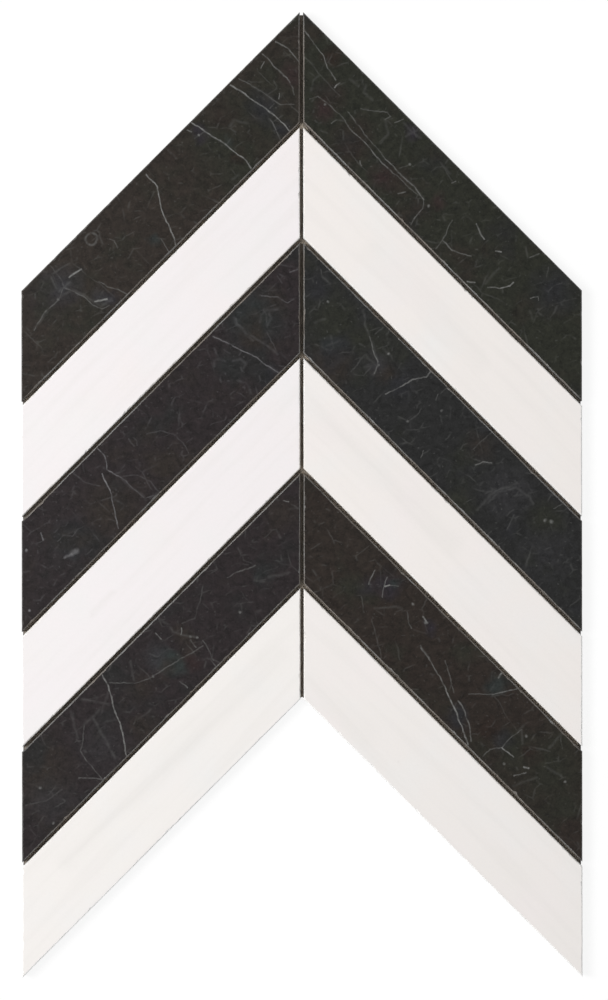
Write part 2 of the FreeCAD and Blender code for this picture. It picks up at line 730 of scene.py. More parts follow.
@dataclass(frozen=True)
class BeddingAdhesive:
    """The earthy adhesive at the bottom of the joints and on the backs."""

    layout: "SheetLayout"
    # Where the crossings get painted light, and how strongly
    painted_light_spots: tuple[tuple[Point, float], ...]
    ground: Colour = (0.540, 0.475, 0.400)
    deep: Colour = (0.420, 0.368, 0.308)
    # Paler colour for the threads that show through, and painted light at the crossings of the joints
    thread_tint_and_painted_light: Colour = (0.570, 0.500, 0.410)
    # The near-black colour of painted shade at the open ends of the joints
    painted_end_shade: Colour = (0.110, 0.095, 0.080)
    mottle: Grain = Grain(size=3.0, detail=3.0)
    mottle_span: Span = (0.35, 0.65)
    thread_span: Span = (0.8, 0.2)
    thread_strength: float = 0.18
    painted_light_drift: Drift = Drift(size=3.0, reach=0.5)
    painted_light_span: Span = (4.5, 0.6)
    # How far in from the open ends the painted shade reaches
    end_shade_width: float = 1.8
    roughness: float = 0.55
    mottle_roughness: float = 0.2
    relief_depth: float = 0.25

    def material(self) -> bpy.types.Material:
        """The material: threads faintly showing, painted light as paler spots at the crossings, and painted
        shade at the open ends.

        Returns:
            The material.
        """
        paint = Surface("bedding_adhesive", IOR=1.45, Specular_IOR_Level=0.3)
        x, y, _ = paint.parts(paint.place)
        half_pitch = self.layout.strand_pitch / 2
        lengthwise = paint.math("PINGPONG", x, half_pitch)
        crosswise = paint.math("PINGPONG", y - self.layout.first_crosswise, half_pitch)
        thread = paint.ramp(paint.math("MINIMUM", lengthwise, crosswise), *self.thread_span)
        mottle = self.mottle.at(paint, paint.place)
        colour = paint.mix(paint.ramp(mottle, *self.mottle_span), self.deep, self.ground)
        colour = paint.mix(thread * self.thread_strength, colour, self.thread_tint_and_painted_light)
        flat = paint.strayed(self.painted_light_drift)
        # Painted light: the adhesive turns paler around the crossings of the joints, more so where it stands
        # higher
        for centre, strength in self.painted_light_spots:
            gap = paint.vector("DISTANCE", flat, (*centre, 0.0))
            colour = paint.mix(paint.ramp(gap, *self.painted_light_span) * strength, colour, self.thread_tint_and_painted_light)
        # Painted shade: the adhesive darkens towards the open ends of the joints, where lamp light reaches in
        ends = paint.ramp(abs(x), self.layout.reach - self.end_shade_width, self.layout.reach)
        colour = paint.mix(ends, colour, self.painted_end_shade)
        roughness = self.roughness + mottle * self.mottle_roughness
        return paint.finished(colour, roughness, mottle, self.relief_depth)


@dataclass(frozen=True)
class GlassFibre:
    """Coated glass-fibre threads: off-white, with filaments along the thread and stains of adhesive."""

    name: str
    squeeze: Vector
    clean: Colour = (0.520, 0.500, 0.455)
    stained: Colour = (0.210, 0.180, 0.145)
    stains: Mottle = Mottle(size=6.0, detail=3.0, low=0.42, high=0.60)
    stain_strength: float = 0.8
    filaments: Grain = Grain(size=0.12)
    filament_floor: float = 0.7
    filament_strength: float = 0.6
    filament_depth: float = 0.04
    roughness: float = 0.35
    filament_roughness: float = 0.2

    def material(self) -> bpy.types.Material:
        """The material of one layer of threads, whose squeeze says which way the filaments run.

        Returns:
            The material.
        """
        paint = Surface(f"glass_fibre_{self.name}", IOR=1.5, Specular_IOR_Level=0.5)
        filaments = self.filaments.at(paint, paint.vector("MULTIPLY", paint.place, self.squeeze))
        stained = self.stains.at(paint, paint.place) * self.stain_strength
        colour = paint.scaled(paint.mix(stained, self.clean, self.stained),
                              self.filament_floor + filaments * self.filament_strength)
        roughness = self.roughness + filaments * self.filament_roughness
        return paint.finished(colour, roughness, filaments, self.filament_depth)


def added(name: str, data: bpy.types.ID) -> bpy.types.Object:
    """Adds an object to the scene.

    Args:
        name: Its name.
        data: Its mesh, lamp or camera.

    Returns:
        The object, at the origin.
    """
    made = bpy.data.objects.new(name, data)
    bpy.context.scene.collection.objects.link(made)
    return made


@dataclass
class MeshDraft:
    """Points and faces, in millimetres, that become one mesh."""

    points: list[np.ndarray] = field(default_factory=list)
    faces: list[Sequence[int]] = field(default_factory=list)
    finishes: list[int] = field(default_factory=list)
    count: int = 0

    def ring(self, points: np.ndarray) -> list[int]:
        """Adds a row of points.

        Args:
            points: Their places, one to a line.

        Returns:
            Their numbers.
        """
        first = self.count
        self.points.append(points)
        self.count += len(points)
        return list(range(first, self.count))

    def face(self, numbers: Sequence[int], finish: int = 0) -> None:
        """Adds one face with one of the piece's finishes."""
        self.faces.append(numbers)
        self.finishes.append(finish)

    def band(self, lower: Sequence[int], upper: Sequence[int], finish: int = 0) -> None:
        """Joins two closed rings of as many points by four-sided faces.

        Args:
            lower: The numbers of the lower ring's points.
            upper: The numbers of the upper ring's points.
            finish: The number of the faces' finish.
        """
        for here in range(len(lower)):
            there = (here + 1) % len(lower)
            self.face((lower[here], lower[there], upper[there], upper[here]), finish)

    def built(self, name: str, materials: Sequence[bpy.types.Material]) -> bpy.types.Object:
        """Makes the object.

        Args:
            name: Its name.
            materials: Its finishes, in the order of their numbers.

        Returns:
            The object, at the origin, with its faces outwards.
        """
        mesh = bpy.data.meshes.new(name)
        mesh.from_pydata(np.concatenate(self.points) * MM, [], self.faces)
        for material in materials:
            mesh.materials.append(material)
        mesh.polygons.foreach_set("material_index", self.finishes)
        shell = bmesh.new()
        shell.from_mesh(mesh)
        bmesh.ops.recalc_face_normals(shell, faces=shell.faces)
        shell.to_mesh(mesh)
        shell.free()
        return added(name, mesh)


def row_stone(row: int) -> Stone:
    """The stone of a row, counted from the tip: the two take turns, and black is first."""
    return Stone.BLACK if row % 2 else Stone.WHITE


def strip_node(row: int, side: Side) -> str:
    """The node of the strip in a row, counted from the tip, and a half."""
    return f"{row_stone(row).name.lower()}_{side.name.lower()}_row{row}"


def millimetre_box(node: str) -> tuple[np.ndarray, np.ndarray]:
    """A node's lowest and highest corners in millimetres."""
    low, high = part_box(node)
    return np.array(low) / MM, np.array(high) / MM


def soften(piece: bpy.types.Object) -> None:
    """Shades a piece smoothly, but for its sharp edges."""
    piece.data.shade_smooth()
    piece.data.set_sharp_from_angle(angle=math.radians(SHARP_ANGLE))


def seat(piece: bpy.types.Object, slot: str, *nodes: str) -> None:
    """Puts a finished piece in the place of its nodes and reports it.

    Args:
        piece: The piece, in place.
        slot: The record's material slot, which is not used.
        nodes: The nodes that the piece stands for.
    """
    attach(piece, BODY)
    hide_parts(*nodes)
    triangles = sum(len(face.vertices) - 2 for face in piece.data.polygons)
    LOG.info("%s: %d triangles, replaces %s", piece.name, triangles, ", ".join(nodes))


@dataclass(frozen=True)
class EdgeWear:
    """How the ground arris of a strip strays from its set width."""

    swell: float = 0.07
    swell_waves: tuple[int, ...] = (3, 7, 13, 29, 47)
    roughness: float = 0.035
    chip_spacing: float = 15.0
    chip_half_length: Span = (0.6, 1.7)
    chip_depth: Span = (0.08, 0.42)
    corner_calm: float = 1.6
    most_narrowing: float = 0.3

    def widening(self, places: np.ndarray, total: float, dice: np.random.Generator) -> np.ndarray:
        """How much wider than set the arris is at some places around the strip.

        Args:
            places: Distances along the outline.
            total: The whole length of the outline.
            dice: The source of chance.

        Returns:
            One width for each place.
        """
        wider = dice.normal(0.0, self.roughness, len(places))
        for waves in self.swell_waves:
            phase = dice.uniform(0, 2 * math.pi)
            wider += self.swell / 2 * np.sin(2 * math.pi * waves * places / total + phase)
        for _ in range(int(total / self.chip_spacing)):
            centre = dice.uniform(0, total)
            half_length = dice.uniform(*self.chip_half_length)
            depth = dice.uniform(*self.chip_depth) ** 2 / self.chip_depth[1]
            wider += depth * np.clip(1 - ((places - centre) / half_length) ** 2, 0, 1)
        return wider


@dataclass(frozen=True)
class SawnStrip:
    """One strip: a parallelogram sawn from a slab, its polished face eased by a worn arris.

    The profile goes up the arris: at each step it gives how far in and how far down the step is, as shares of
    the arris. The rim share is how much of the wear also takes stone off the outline.
    """

    node: str
    stone: Stone
    side: Side
    polish: Union[BlackMarble, WhiteMarble]
    seed: int
    arris: float = 0.5
    profile: tuple[Span, ...] = ((0.0, 1.0), (0.42, 0.42), (1.0, 0.0))
    rim_share: float = 0.12
    least_drop: float = 0.1
    step: float = 0.6
    wear: EdgeWear = EdgeWear()

    def corners(self) -> np.ndarray:
        """The corners of the strip's outline.

        Returns:
            The four corners, counter-clockwise from above.
        """
        low, high = millimetre_box(self.node)
        inner, outer = sorted((abs(low[0]), abs(high[0])))
        run = outer - inner
        sign = self.side.value
        ends = [
            (sign * inner, high[1]),
            (sign * inner, low[1] + run),
            (sign * outer, low[1]),
            (sign * outer, high[1] - run),
        ]
        return np.array(ends if self.side is Side.RIGHT else ends[::-1])

    def build(self, sawn: bpy.types.Material) -> bpy.types.Object:
        """Builds the strip and puts it in its node's place.

        Args:
            sawn: The finish of its sides, arris and back.

        Returns:
            The strip.
        """
        low, high = millimetre_box(self.node)
        outline, inset, inward, wider = self._rows()
        draft = MeshDraft()
        rings = [draft.ring(np.column_stack((outline, np.full(len(outline), low[2]))))]
        for share_in, share_down in self.profile:
            worn = np.maximum(wider, 0.0) * self.rim_share + wider * (1 - self.rim_share) * share_in
            flat = outline + (inset - outline) * share_in + inward * worn[:, None]
            height = high[2] - np.maximum(self.arris + wider, self.least_drop) * share_down
            rings.append(draft.ring(np.column_stack((flat, height))))
        for lower, upper in zip(rings, rings[1:]):
            draft.band(lower, upper, finish=1)
        draft.face(rings[-1], finish=0)
        draft.face(rings[0][::-1], finish=1)
        made = draft.built(self.node.replace("row", "strip"), (self.polish.material(), sawn))
        seat(made, self.stone.value, self.node)
        return made

    def _rows(self) -> tuple[np.ndarray, np.ndarray, np.ndarray, np.ndarray]:
        """The points around the strip, a step apart.

        Returns:
            The points of the outline, those of the arris's inner line, the way inwards and the wear.
        """
        corners = self.corners()
        edges = np.roll(corners, -1, axis=0) - corners
        lengths = np.linalg.norm(edges, axis=1)
        normals = np.column_stack((-edges[:, 1], edges[:, 0])) / lengths[:, None]
        before = np.roll(normals, 1, axis=0)
        spread = 1 + np.sum(normals * before, axis=1)
        inner_corners = corners + self.arris * (normals + before) / spread[:, None]
        outline, inset, inward, places, calm = [], [], [], [], []
        travelled = 0.0
        for here in range(len(corners)):
            there = (here + 1) % len(corners)
            count = round(lengths[here] / self.step)
            share = (np.arange(count) / count)[:, None]
            outline.append(corners[here] + (corners[there] - corners[here]) * share)
            inset.append(inner_corners[here] + (inner_corners[there] - inner_corners[here]) * share)
            inward.append(np.repeat(normals[here:here + 1], count, axis=0))
            along = share[:, 0] * lengths[here]
            places.append(travelled + along)
            calm.append(np.clip(np.minimum(along, lengths[here] - along) / self.wear.corner_calm, 0, 1))
            travelled += lengths[here]
        dice = np.random.default_rng(self.seed)
        wider = self.wear.widening(np.concatenate(places), travelled, dice) * np.concatenate(calm)
        wider = np.maximum(wider, -self.wear.most_narrowing)
        return np.concatenate(outline), np.concatenate(inset), np.concatenate(inward), wider


@dataclass(frozen=True)
class SheetLayout:
    """The lines of the sheet that its backing follows, in millimetres.

    The crest and the notch are where the backing's upper and lower slanted lines meet the mitre, and so are
    the joint crests for the middle of each joint between two rows.
    """

    half_joint: float
    reach: float
    crest: float
    notch: float
    film_under: float
    film_upper: float
    first_crosswise: float
    joint_crests: tuple[float, ...]
    strand_pitch: float

    @classmethod
    def read(cls, strand_pitch: float = 5.8) -> "SheetLayout":
        """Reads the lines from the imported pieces.

        Args:
            strand_pitch: The distance from strand to strand of the net.

        Returns:
            The layout.
        """
        rights = [millimetre_box(strip_node(row, Side.RIGHT)) for row in range(1, ROWS + 1)]
        half_joint, outer = rights[0][0][0], rights[0][1][0]
        low, high = millimetre_box("adhesive_film")
        joints = tuple((above[0][1] + outer + below[1][1] + half_joint) / 2
                       for above, below in zip(rights, rights[1:]))
        return cls(half_joint=half_joint, reach=high[0], crest=high[1] + half_joint, notch=low[1] + high[0],
                   film_under=low[2], film_upper=high[2], first_crosswise=low[1] + strand_pitch / 2,
                   joint_crests=joints, strand_pitch=strand_pitch)


def smoothed(draws: np.ndarray, window: int, gain: float) -> np.ndarray:
    """The sums of random draws in a window that runs along them.

    Args:
        draws: The draws.
        window: How many draws a sum takes, an odd number.
        gain: What each sum is multiplied by.

    Returns:
        The sums whose window lies wholly on the draws.
    """
    sums = np.convolve(draws, np.full(window, gain), mode="same")
    return sums[window // 2:len(draws) - window // 2]


@dataclass(frozen=True)
class AdhesiveBed:
    """The film on the backs: ridges over the strands below, and an uneven bead up the walls of each joint.

    The film's underside is drawn down over the strands, but keeps a skin's distance from the floor and from
    the stone. The pool rises say how high the adhesive stands where each joint meets the mitre.
    """

    layout: SheetLayout
    seed: int = 41
    cells_per_pitch: int = 4
    strand_cover: float = 0.24
    strand_spread: float = 0.95
    skin: float = 0.1
    roughness: float = 0.03
    joint_step: float = 0.6
    bead_points: int = 6
    wall_overlap: float = 0.02
    end_squeeze: float = 0.25
    bead_rise: float = 1.10
    bead_swell: float = 0.07
    swell_window: int = 9
    wall_climb: float = 0.55
    wall_steepness: int = 4
    climb_window: int = 7
    thread_rise: float = 0.28
    thread_spread: float = 0.7
    pool_radius: float = 2.4
    pool_rises: tuple[float, ...] = (3.2, 1.4, 1.2, 2.2, 1.6)

    def build(self, finish: bpy.types.Material) -> bpy.types.Object:
        """Builds the bed and puts it in the film's place.

        Args:
            finish: The adhesive's material.

        Returns:
            The bed.
        """
        dice = np.random.default_rng(self.seed)
        draft = MeshDraft()
        self._add_film(draft, dice)
        half, reach = self.layout.half_joint, self.layout.reach + self.end_squeeze
        wall = half + self.wall_overlap
        head, foot = np.array((0.0, self.layout.crest - half)), np.array((0.0, self.layout.notch))
        self._add_bead(draft, head, foot, np.array((wall, 0.0)), dice)
        for crest in self.layout.joint_crests:
            for side in Side:
                start = np.array((side.value * half / 2, crest - half / 2))
                end = np.array((side.value * reach, crest - reach))
                self._add_bead(draft, start, end, np.array((0.0, wall / SLANT)), dice)
        made = draft.built("adhesive_bed", (finish,))
        soften(made)
        seat(made, "adhesive", "adhesive_film")
        return made

    def _off_lines(self, x: np.ndarray, y: np.ndarray) -> np.ndarray:
        """How far places are from the nearest strand of the net.

        Args:
            x: The places' X.
            y: The places' Y.

        Returns:
            The distances.
        """
        pitch = self.layout.strand_pitch
        runs = (x, y - self.layout.first_crosswise)
        return np.minimum(*(np.abs((run / pitch + 0.5) % 1 - 0.5) * pitch for run in runs))

    def _add_film(self, draft: MeshDraft, dice: np.random.Generator) -> None:
        """Adds the film: flat above, and drawn down over the strands below.

        Args:
            draft: The mesh to add to.
            dice: The source of chance.
        """
        layout = self.layout
        cell = layout.strand_pitch / self.cells_per_pitch
        half = int(layout.reach / cell)
        columns = np.concatenate(([-layout.reach], np.arange(-half, half + 1) * cell, [layout.reach]))
        first = math.ceil((layout.notch + cell / 2 - layout.first_crosswise) / cell)
        last = math.floor((layout.crest - cell / 2 - layout.first_crosswise) / cell)
        inner = layout.first_crosswise + np.arange(first, last + 1) * cell
        rows = np.concatenate(([layout.notch], inner, [layout.crest]))
        x, level = np.meshgrid(columns, rows)
        y = level - np.hypot(x, layout.half_joint)
        wet = self.strand_cover * np.exp(-(self._off_lines(x, y) / self.strand_spread) ** 2)
        uneven = layout.film_under - wet + dice.normal(0, self.roughness, x.shape)
        z = np.clip(uneven, self.skin, layout.film_upper - self.skin)
        numbers = np.array(draft.ring(np.column_stack((x.ravel(), y.ravel(), z.ravel())))).reshape(x.shape)
        for row in range(len(rows) - 1):
            for column in range(len(columns) - 1):
                corners = (numbers[row, column], numbers[row + 1, column],
                           numbers[row + 1, column + 1], numbers[row, column + 1])
                draft.face(corners if columns[column] >= 0 else corners[1:] + corners[:1])
        rim = np.concatenate((numbers[0, :], numbers[1:, -1], numbers[-1, -2::-1], numbers[-2:0:-1, 0]))
        flat = np.column_stack((x.ravel(), y.ravel(), np.full(x.size, layout.film_upper)))
        above = draft.ring(flat[rim])
        draft.band(list(rim), above)
        draft.face(above)

    def _add_bead(self, draft: MeshDraft, start: np.ndarray, end: np.ndarray, aside: np.ndarray,
                  dice: np.random.Generator) -> None:
        """Adds the adhesive that stands in one joint, from wall to wall.

        Args:
            draft: The mesh to add to.
            start: The joint's middle at its upper end.
            end: The joint's middle at its lower end.
            aside: The way from the middle to a wall, along the joint's plumb ends.
            dice: The source of chance.
        """
        run = end - start
        count = int(np.linalg.norm(run) / self.joint_step)
        shares = np.linspace(-1, 1, self.bead_points)
        middle_height = (self.layout.film_under + self.layout.film_upper) / 2
        swell = smoothed(dice.normal(0, 1, count + self.swell_window), self.swell_window,
                         1 / math.sqrt(self.swell_window))
        near_climb, far_climb = (
            smoothed(dice.uniform(0, 1, count + self.climb_window), self.climb_window, 1 / self.climb_window)
            for _ in range(2))
        previous: Optional[list[int]] = None
        for station in range(count + 1):
            middle = start + run * station / count
            flat = middle + aside * shares[:, None]
            off_lines = self._off_lines(flat[:, 0], flat[:, 1])
            lump = np.exp(-(off_lines / self.thread_spread) ** 2) * self.thread_rise
            climb = np.where(shares < 0, near_climb[station], far_climb[station])
            wall = climb * self.wall_climb * shares ** self.wall_steepness
            height = self.layout.film_upper + self.bead_rise + self.bead_swell * swell[station] + lump + wall
            height += self._pools(flat)
            height += dice.normal(0, self.roughness, len(shares))
            top = np.column_stack((flat, height))
            foot = np.column_stack((flat[[-1, 0]], np.full(2, middle_height)))
            ring = draft.ring(np.concatenate((top, foot)))
            if previous is None:
                draft.face(ring)
            else:
                draft.band(previous, ring)
            previous = ring
        draft.face(previous[::-1])

    def _pools(self, flat: np.ndarray) -> np.ndarray:
        """How much the adhesive rises at places near the crossings of the joints.

        Args:
            flat: The places, one to a line.

        Returns:
            The rises.
        """
        rise = np.zeros(len(flat))
        for (x, y), height in self.crossings():
            gap = np.hypot(flat[:, 0] - x, flat[:, 1] - y)
            rise += height * np.exp(-(gap / self.pool_radius) ** 2)
        return rise

    def crossings(self) -> list[tuple[Point, float]]:
        """Where the joints meet on the mitre, and how high the adhesive stands there."""
        return [((0.0, crest), rise) for crest, rise in zip(self.layout.joint_crests, self.pool_rises)]


class LayerTree(Graph):
    """The Geometry Nodes tree of one layer of the net."""

    def __init__(self, name: str, sizes: Mapping[str, float]) -> None:
        """Makes the tree, with a named input for each size and one for the finish.

        Args:
            name: The tree's name.
            sizes: The sizes by name, in metres.
        """
        tree = bpy.data.node_groups.new(name, "GeometryNodeTree")
        for size in sizes:
            tree.interface.new_socket(size, in_out="INPUT", socket_type="NodeSocketFloat")
        tree.interface.new_socket("Finish", in_out="INPUT", socket_type="NodeSocketMaterial")
        tree.interface.new_socket("Geometry", in_out="OUTPUT", socket_type="NodeSocketGeometry")
        super().__init__(tree)
        self.sizes = sizes
        given = self.node("NodeGroupInput")
        self.given = {socket.name: Value(self, socket) for socket in given.outputs if socket.name}

    def position(self) -> tuple[Value, ...]:
        """The three parts of a point's place."""
        return self.parts(self.value("GeometryNodeInputPosition"))

    def line(self, count: int, start: Value, step: Value) -> Value:
        """A row of points from a start, a step apart."""
        inputs = {"Count": count, "Start Location": start, "Offset": step}
        return self.value("GeometryNodeMeshLine", inputs, {"mode": "OFFSET"})

    def moved(self, shape: Value, **where: Value) -> Value:
        """A shape with its points moved to a Position or by an Offset."""
        return self.value("GeometryNodeSetPosition", {"Geometry": shape, **where})

    def joined(self, *shapes: Value) -> Value:
        """Joins some shapes.

        Args:
            shapes: The shapes, in the order of their links.

        Returns:
            The joined shape.
        """
        join = self.node("GeometryNodeJoinGeometry")
        for shape in shapes:
            self.tree.links.new(shape.socket, join.inputs[0])
        return Value(self, join.outputs[0])

    def strayed(self, path: Value, aside: Vector, size: float) -> Value:
        """Moves each point of a path a little to one side, by noise.

        Args:
            path: The path.
            aside: The way to the side.
            size: Over how many millimetres the stray changes.

        Returns:
            The moved path.
        """
        place = self.value("GeometryNodeInputPosition")
        noise = self.value("ShaderNodeTexNoise", {"Vector": place, "Scale": 1 / (size * MM), "Detail": 1.0})
        shift = self.scaled(self.combined(*aside), (noise - NOISE_MIDDLE) * self.given["Stray"] * NOISE_GAIN)
        return self.moved(path, Offset=shift)

    def end(self, path: Value, section: Value) -> None:
        """Ends the tree: the section swept along the path, made real, with its finish.

        Args:
            path: The path.
            section: The closed section of the thread.
        """
        solid = self.value("GeometryNodeCurveToMesh",
                           {"Curve": path, "Profile Curve": section, "Fill Caps": True})
        real = self.value("GeometryNodeRealizeInstances", {"Geometry": solid})
        dressed = self.value("GeometryNodeSetMaterial", {"Geometry": real, "Material": self.given["Finish"]})
        self.node("NodeGroupOutput", {"Geometry": dressed})

    def grown(self, name: str, finish: bpy.types.Material) -> bpy.types.Object:
        """Runs the tree and turns its result into a plain mesh object.

        Args:
            name: The object's name.
            finish: The material that the tree sets.

        Returns:
            The object, with no modifier.
        """
        made = added(name, bpy.data.meshes.new(name))
        modifier = made.modifiers.new(name, "NODES")
        modifier.node_group = self.tree
        for item in self.tree.interface.items_tree:
            if item.in_out == "INPUT":
                modifier[item.identifier] = self.sizes.get(item.name, finish)
        ready = made.evaluated_get(bpy.context.evaluated_depsgraph_get())
        made.data = bpy.data.meshes.new_from_object(ready)
        made.modifiers.remove(modifier)
        made.data.name = name
        return made


@dataclass(frozen=True)
class WovenNet:
    """The glass-fibre net: twisted pairs of yarns lengthwise, and flat threads crosswise between them."""

    layout: SheetLayout
    height: float = 0.25
    steps_per_pitch: int = 4
    yarn_radius: float = 0.095
    yarn_swing: float = 0.30
    yarn_sides: int = 5
    thread_width: float = 0.9
    thread_thickness: float = 0.15
    thread_sides: int = 6
    filament_squeeze: float = 0.04
    stray: float = 0.10
    stray_size: float = 11.0

    def build(self) -> list[bpy.types.Object]:
        """Builds both layers and puts them in the place of the plain strands.

        Returns:
            The two layers.
        """
        lengthwise = GlassFibre("lengthwise", squeeze=(1.0, self.filament_squeeze, 1.0))
        crosswise = GlassFibre("crosswise", squeeze=(self.filament_squeeze, 1.0, 1.0))
        yarns = self._yarn_tree().grown("net_twisted_yarns", lengthwise.material())
        threads = self._thread_tree().grown("net_flat_threads", crosswise.material())
        for piece, node in ((yarns, "net_lengthwise_strands"), (threads, "net_crosswise_strands")):
            soften(piece)
            seat(piece, "glass_net", node)
        return [yarns, threads]

    def _sizes(self) -> dict[str, float]:
        """The named inputs of both trees.

        Returns:
            Their values in metres, by name.
        """
        sizes = {
            "Pitch": self.layout.strand_pitch,
            "Reach": self.layout.reach,
            "Crest": self.layout.crest,
            "Notch": self.layout.notch,
            "Tip Half Width": self.layout.half_joint,
            "First Crosswise": self.layout.first_crosswise,
            "Mid Height": self.height,
            "Yarn Radius": self.yarn_radius,
            "Yarn Swing": self.yarn_swing,
            "Thread Width": self.thread_width,
            "Thread Thickness": self.thread_thickness,
            "Stray": self.stray,
        }
        return {name: size * MM for name, size in sizes.items()}

    def _yarn_tree(self) -> LayerTree:
        """The lengthwise yarns: at each crosswise thread one yarn of a pair lies above it and one below.

        Returns:
            The tree.
        """
        tree = LayerTree("Twisted yarns", self._sizes())
        given, layout = tree.given, self.layout
        count = int((layout.reach - self.thread_width / 2) / layout.strand_pitch)
        start = tree.combined(given["Pitch"] * -count)
        line = tree.line(2 * count + 1, start, tree.combined(given["Pitch"]))
        x, _, _ = tree.position()
        tip = given["Crest"] - tree.math("MAXIMUM", abs(x), given["Tip Half Width"])
        heads = tree.moved(line, Position=tree.combined(x, tip, given["Mid Height"]))
        drop = given["Crest"] - given["Notch"]
        plumb = tree.value("GeometryNodeCurvePrimitiveLine", {"End": tree.combined(0.0, -drop)})
        hung = tree.value("GeometryNodeInstanceOnPoints", {"Points": heads, "Instance": plumb})
        real = tree.value("GeometryNodeRealizeInstances", {"Geometry": hung})
        steps = round((layout.crest - layout.notch) / layout.strand_pitch * self.steps_per_pitch)
        path = tree.value("GeometryNodeResampleCurve", {"Curve": real, "Count": steps + 1})
        path = tree.strayed(path, (1.0, 0.0, 0.0), self.stray_size)
        _, y, _ = tree.position()
        turn = (y - given["First Crosswise"]) / given["Pitch"] * math.pi
        lift = given["Mid Height"] - given["Yarn Radius"]
        yarns = []
        for phase in (0.0, math.pi):
            swing = tree.math("SINE", turn + phase) * given["Yarn Swing"]
            rise = tree.math("COSINE", turn + phase) * lift
            yarns.append(tree.moved(path, Offset=tree.combined(swing, 0.0, rise)))
        section = tree.value("GeometryNodeCurvePrimitiveCircle",
                             {"Resolution": self.yarn_sides, "Radius": given["Yarn Radius"]})
        tree.end(tree.joined(*yarns), section)
        return tree

    def _thread_tree(self) -> LayerTree:
        """The crosswise threads: one from edge to edge, or two below the notch, where the sheet forks.

        Returns:
            The tree.
        """
        tree = LayerTree("Flat threads", self._sizes())
        given, layout = tree.given, self.layout
        run = layout.crest - layout.half_joint - self.thread_width / 2 - layout.first_crosswise
        start = tree.combined(0.0, given["First Crosswise"], given["Mid Height"])
        line = tree.line(int(run / layout.strand_pitch) + 1, start, tree.combined(0.0, given["Pitch"]))
        _, y, z = tree.position()
        outer = tree.math("MINIMUM", given["Reach"], given["Crest"] - y)
        inner = given["Notch"] - y
        forked = y < given["Notch"]
        whole = 1.0 - forked
        leg = outer - inner
        right = (forked * inner - whole * outer, forked * leg + whole * outer * 2.0, {})
        left = (-outer, leg, {"Selection": forked})
        unit_line = tree.value("GeometryNodeCurvePrimitiveLine", {"End": (1.0, 0.0, 0.0)})
        halves = []
        for start, length, chosen in (right, left):
            inputs = {"Points": tree.moved(line, Position=tree.combined(start, y, z)),
                      "Instance": unit_line, "Scale": tree.combined(length, 1.0, 1.0), **chosen}
            halves.append(tree.value("GeometryNodeInstanceOnPoints", inputs))
        real = tree.value("GeometryNodeRealizeInstances", {"Geometry": tree.joined(*halves)})
        step = given["Pitch"] / float(self.steps_per_pitch)
        path = tree.value("GeometryNodeResampleCurve", {"Curve": real, "Length": step}, {"mode": "LENGTH"})
        path = tree.strayed(path, (0.0, 1.0, 0.0), self.stray_size)
        path = tree.value("GeometryNodeSetCurveNormal", {"Curve": path}, {"mode": "Z_UP"})
        unit_circle = tree.value("GeometryNodeCurvePrimitiveCircle",
                                 {"Resolution": self.thread_sides, "Radius": 0.5})
        flattened = tree.combined(given["Thread Width"], given["Thread Thickness"], 1.0)
        tree.end(path, tree.value("GeometryNodeTransform", {"Geometry": unit_circle, "Scale": flattened}))
        return tree


@dataclass(frozen=True)
class Studio:
    """A pale floor, one large soft lamp from the left and an even sky."""

    floor_half_width: float = 4.0
    floor_colour: Colour = (0.93, 0.93, 0.93)
    floor_white: float = 1.02
    floor_glow: float = 0.87
    lamp_distance: float = 2.4
    lamp_elevation: float = 60.0
    lamp_bearing: float = 172.0
    lamp_size: float = 1.1
    lamp_power: float = 52.8
    sky_ambient: float = 0.34
    sky_zenith: float = 0.30
    zenith_span: Span = (0.1, 0.95)

    def build(self) -> None:
        """Sets up the floor, the lamp and the sky."""
        self._floor()
        self._lamp()
        self._sky()

    def _floor(self) -> None:
        """A flat floor under the net, white to the camera but for the object's shadow."""
        half = self.floor_half_width / MM
        draft = MeshDraft()
        corners = [(-half, -half, 0), (half, -half, 0), (half, half, 0), (-half, half, 0)]
        draft.face(draft.ring(np.array(corners)))
        material = bpy.data.materials.new("pale_floor")
        material.use_nodes = True
        graph = Graph(material.node_tree)
        paper = graph.value("ShaderNodeBsdfDiffuse", {"Color": (*self.floor_colour, 1.0)})
        glow = graph.value("ShaderNodeEmission", {"Strength": self.floor_white})
        seen = graph.value("ShaderNodeLightPath", output="Is Camera Ray")
        shown = graph.value("ShaderNodeMixShader", {0: seen * self.floor_glow, 1: paper, 2: glow})
        graph.node("ShaderNodeOutputMaterial", {"Surface": shown})
        floor = draft.built("floor", (material,))

    def _lamp(self) -> None:
        """The soft lamp, turned to the middle of the sheet."""
        lamp = bpy.data.lights.new("soft_lamp", "AREA")
        lamp.shape = "DISK"
        lamp.size = self.lamp_size
        lamp.energy = self.lamp_power
        holder = added("soft_lamp", lamp)
        rise, bearing = math.radians(self.lamp_elevation), math.radians(self.lamp_bearing)
        holder.location = (self.lamp_distance * math.cos(rise) * math.cos(bearing),
                           self.lamp_distance * math.cos(rise) * math.sin(bearing),
                           self.lamp_distance * math.sin(rise))
        holder.rotation_euler = (-holder.location).to_track_quat("-Z", "Y").to_euler()

    def _sky(self) -> None:
        """An even sky for soft light, darker overhead in reflections, and white to the camera."""
        world = bpy.data.worlds.new("studio")
        world.use_nodes = True
        bpy.context.scene.world = world
        graph = Graph(world.node_tree)
        path = graph.node("ShaderNodeLightPath")
        camera = Value(graph, path.outputs["Is Camera Ray"])
        glossy = Value(graph, path.outputs["Is Glossy Ray"])
        _, _, up = graph.parts(graph.value("ShaderNodeTexCoord", output="Generated"))
        mirrored = 1.0 - graph.ramp(up, *self.zenith_span) * (1.0 - self.sky_zenith)
        unseen = glossy * mirrored + (1.0 - glossy) * self.sky_ambient
        sky = graph.value("ShaderNodeBackground", {"Strength": camera + (1.0 - camera) * unseen})
        graph.node("ShaderNodeOutputWorld", {"Surface": sky})


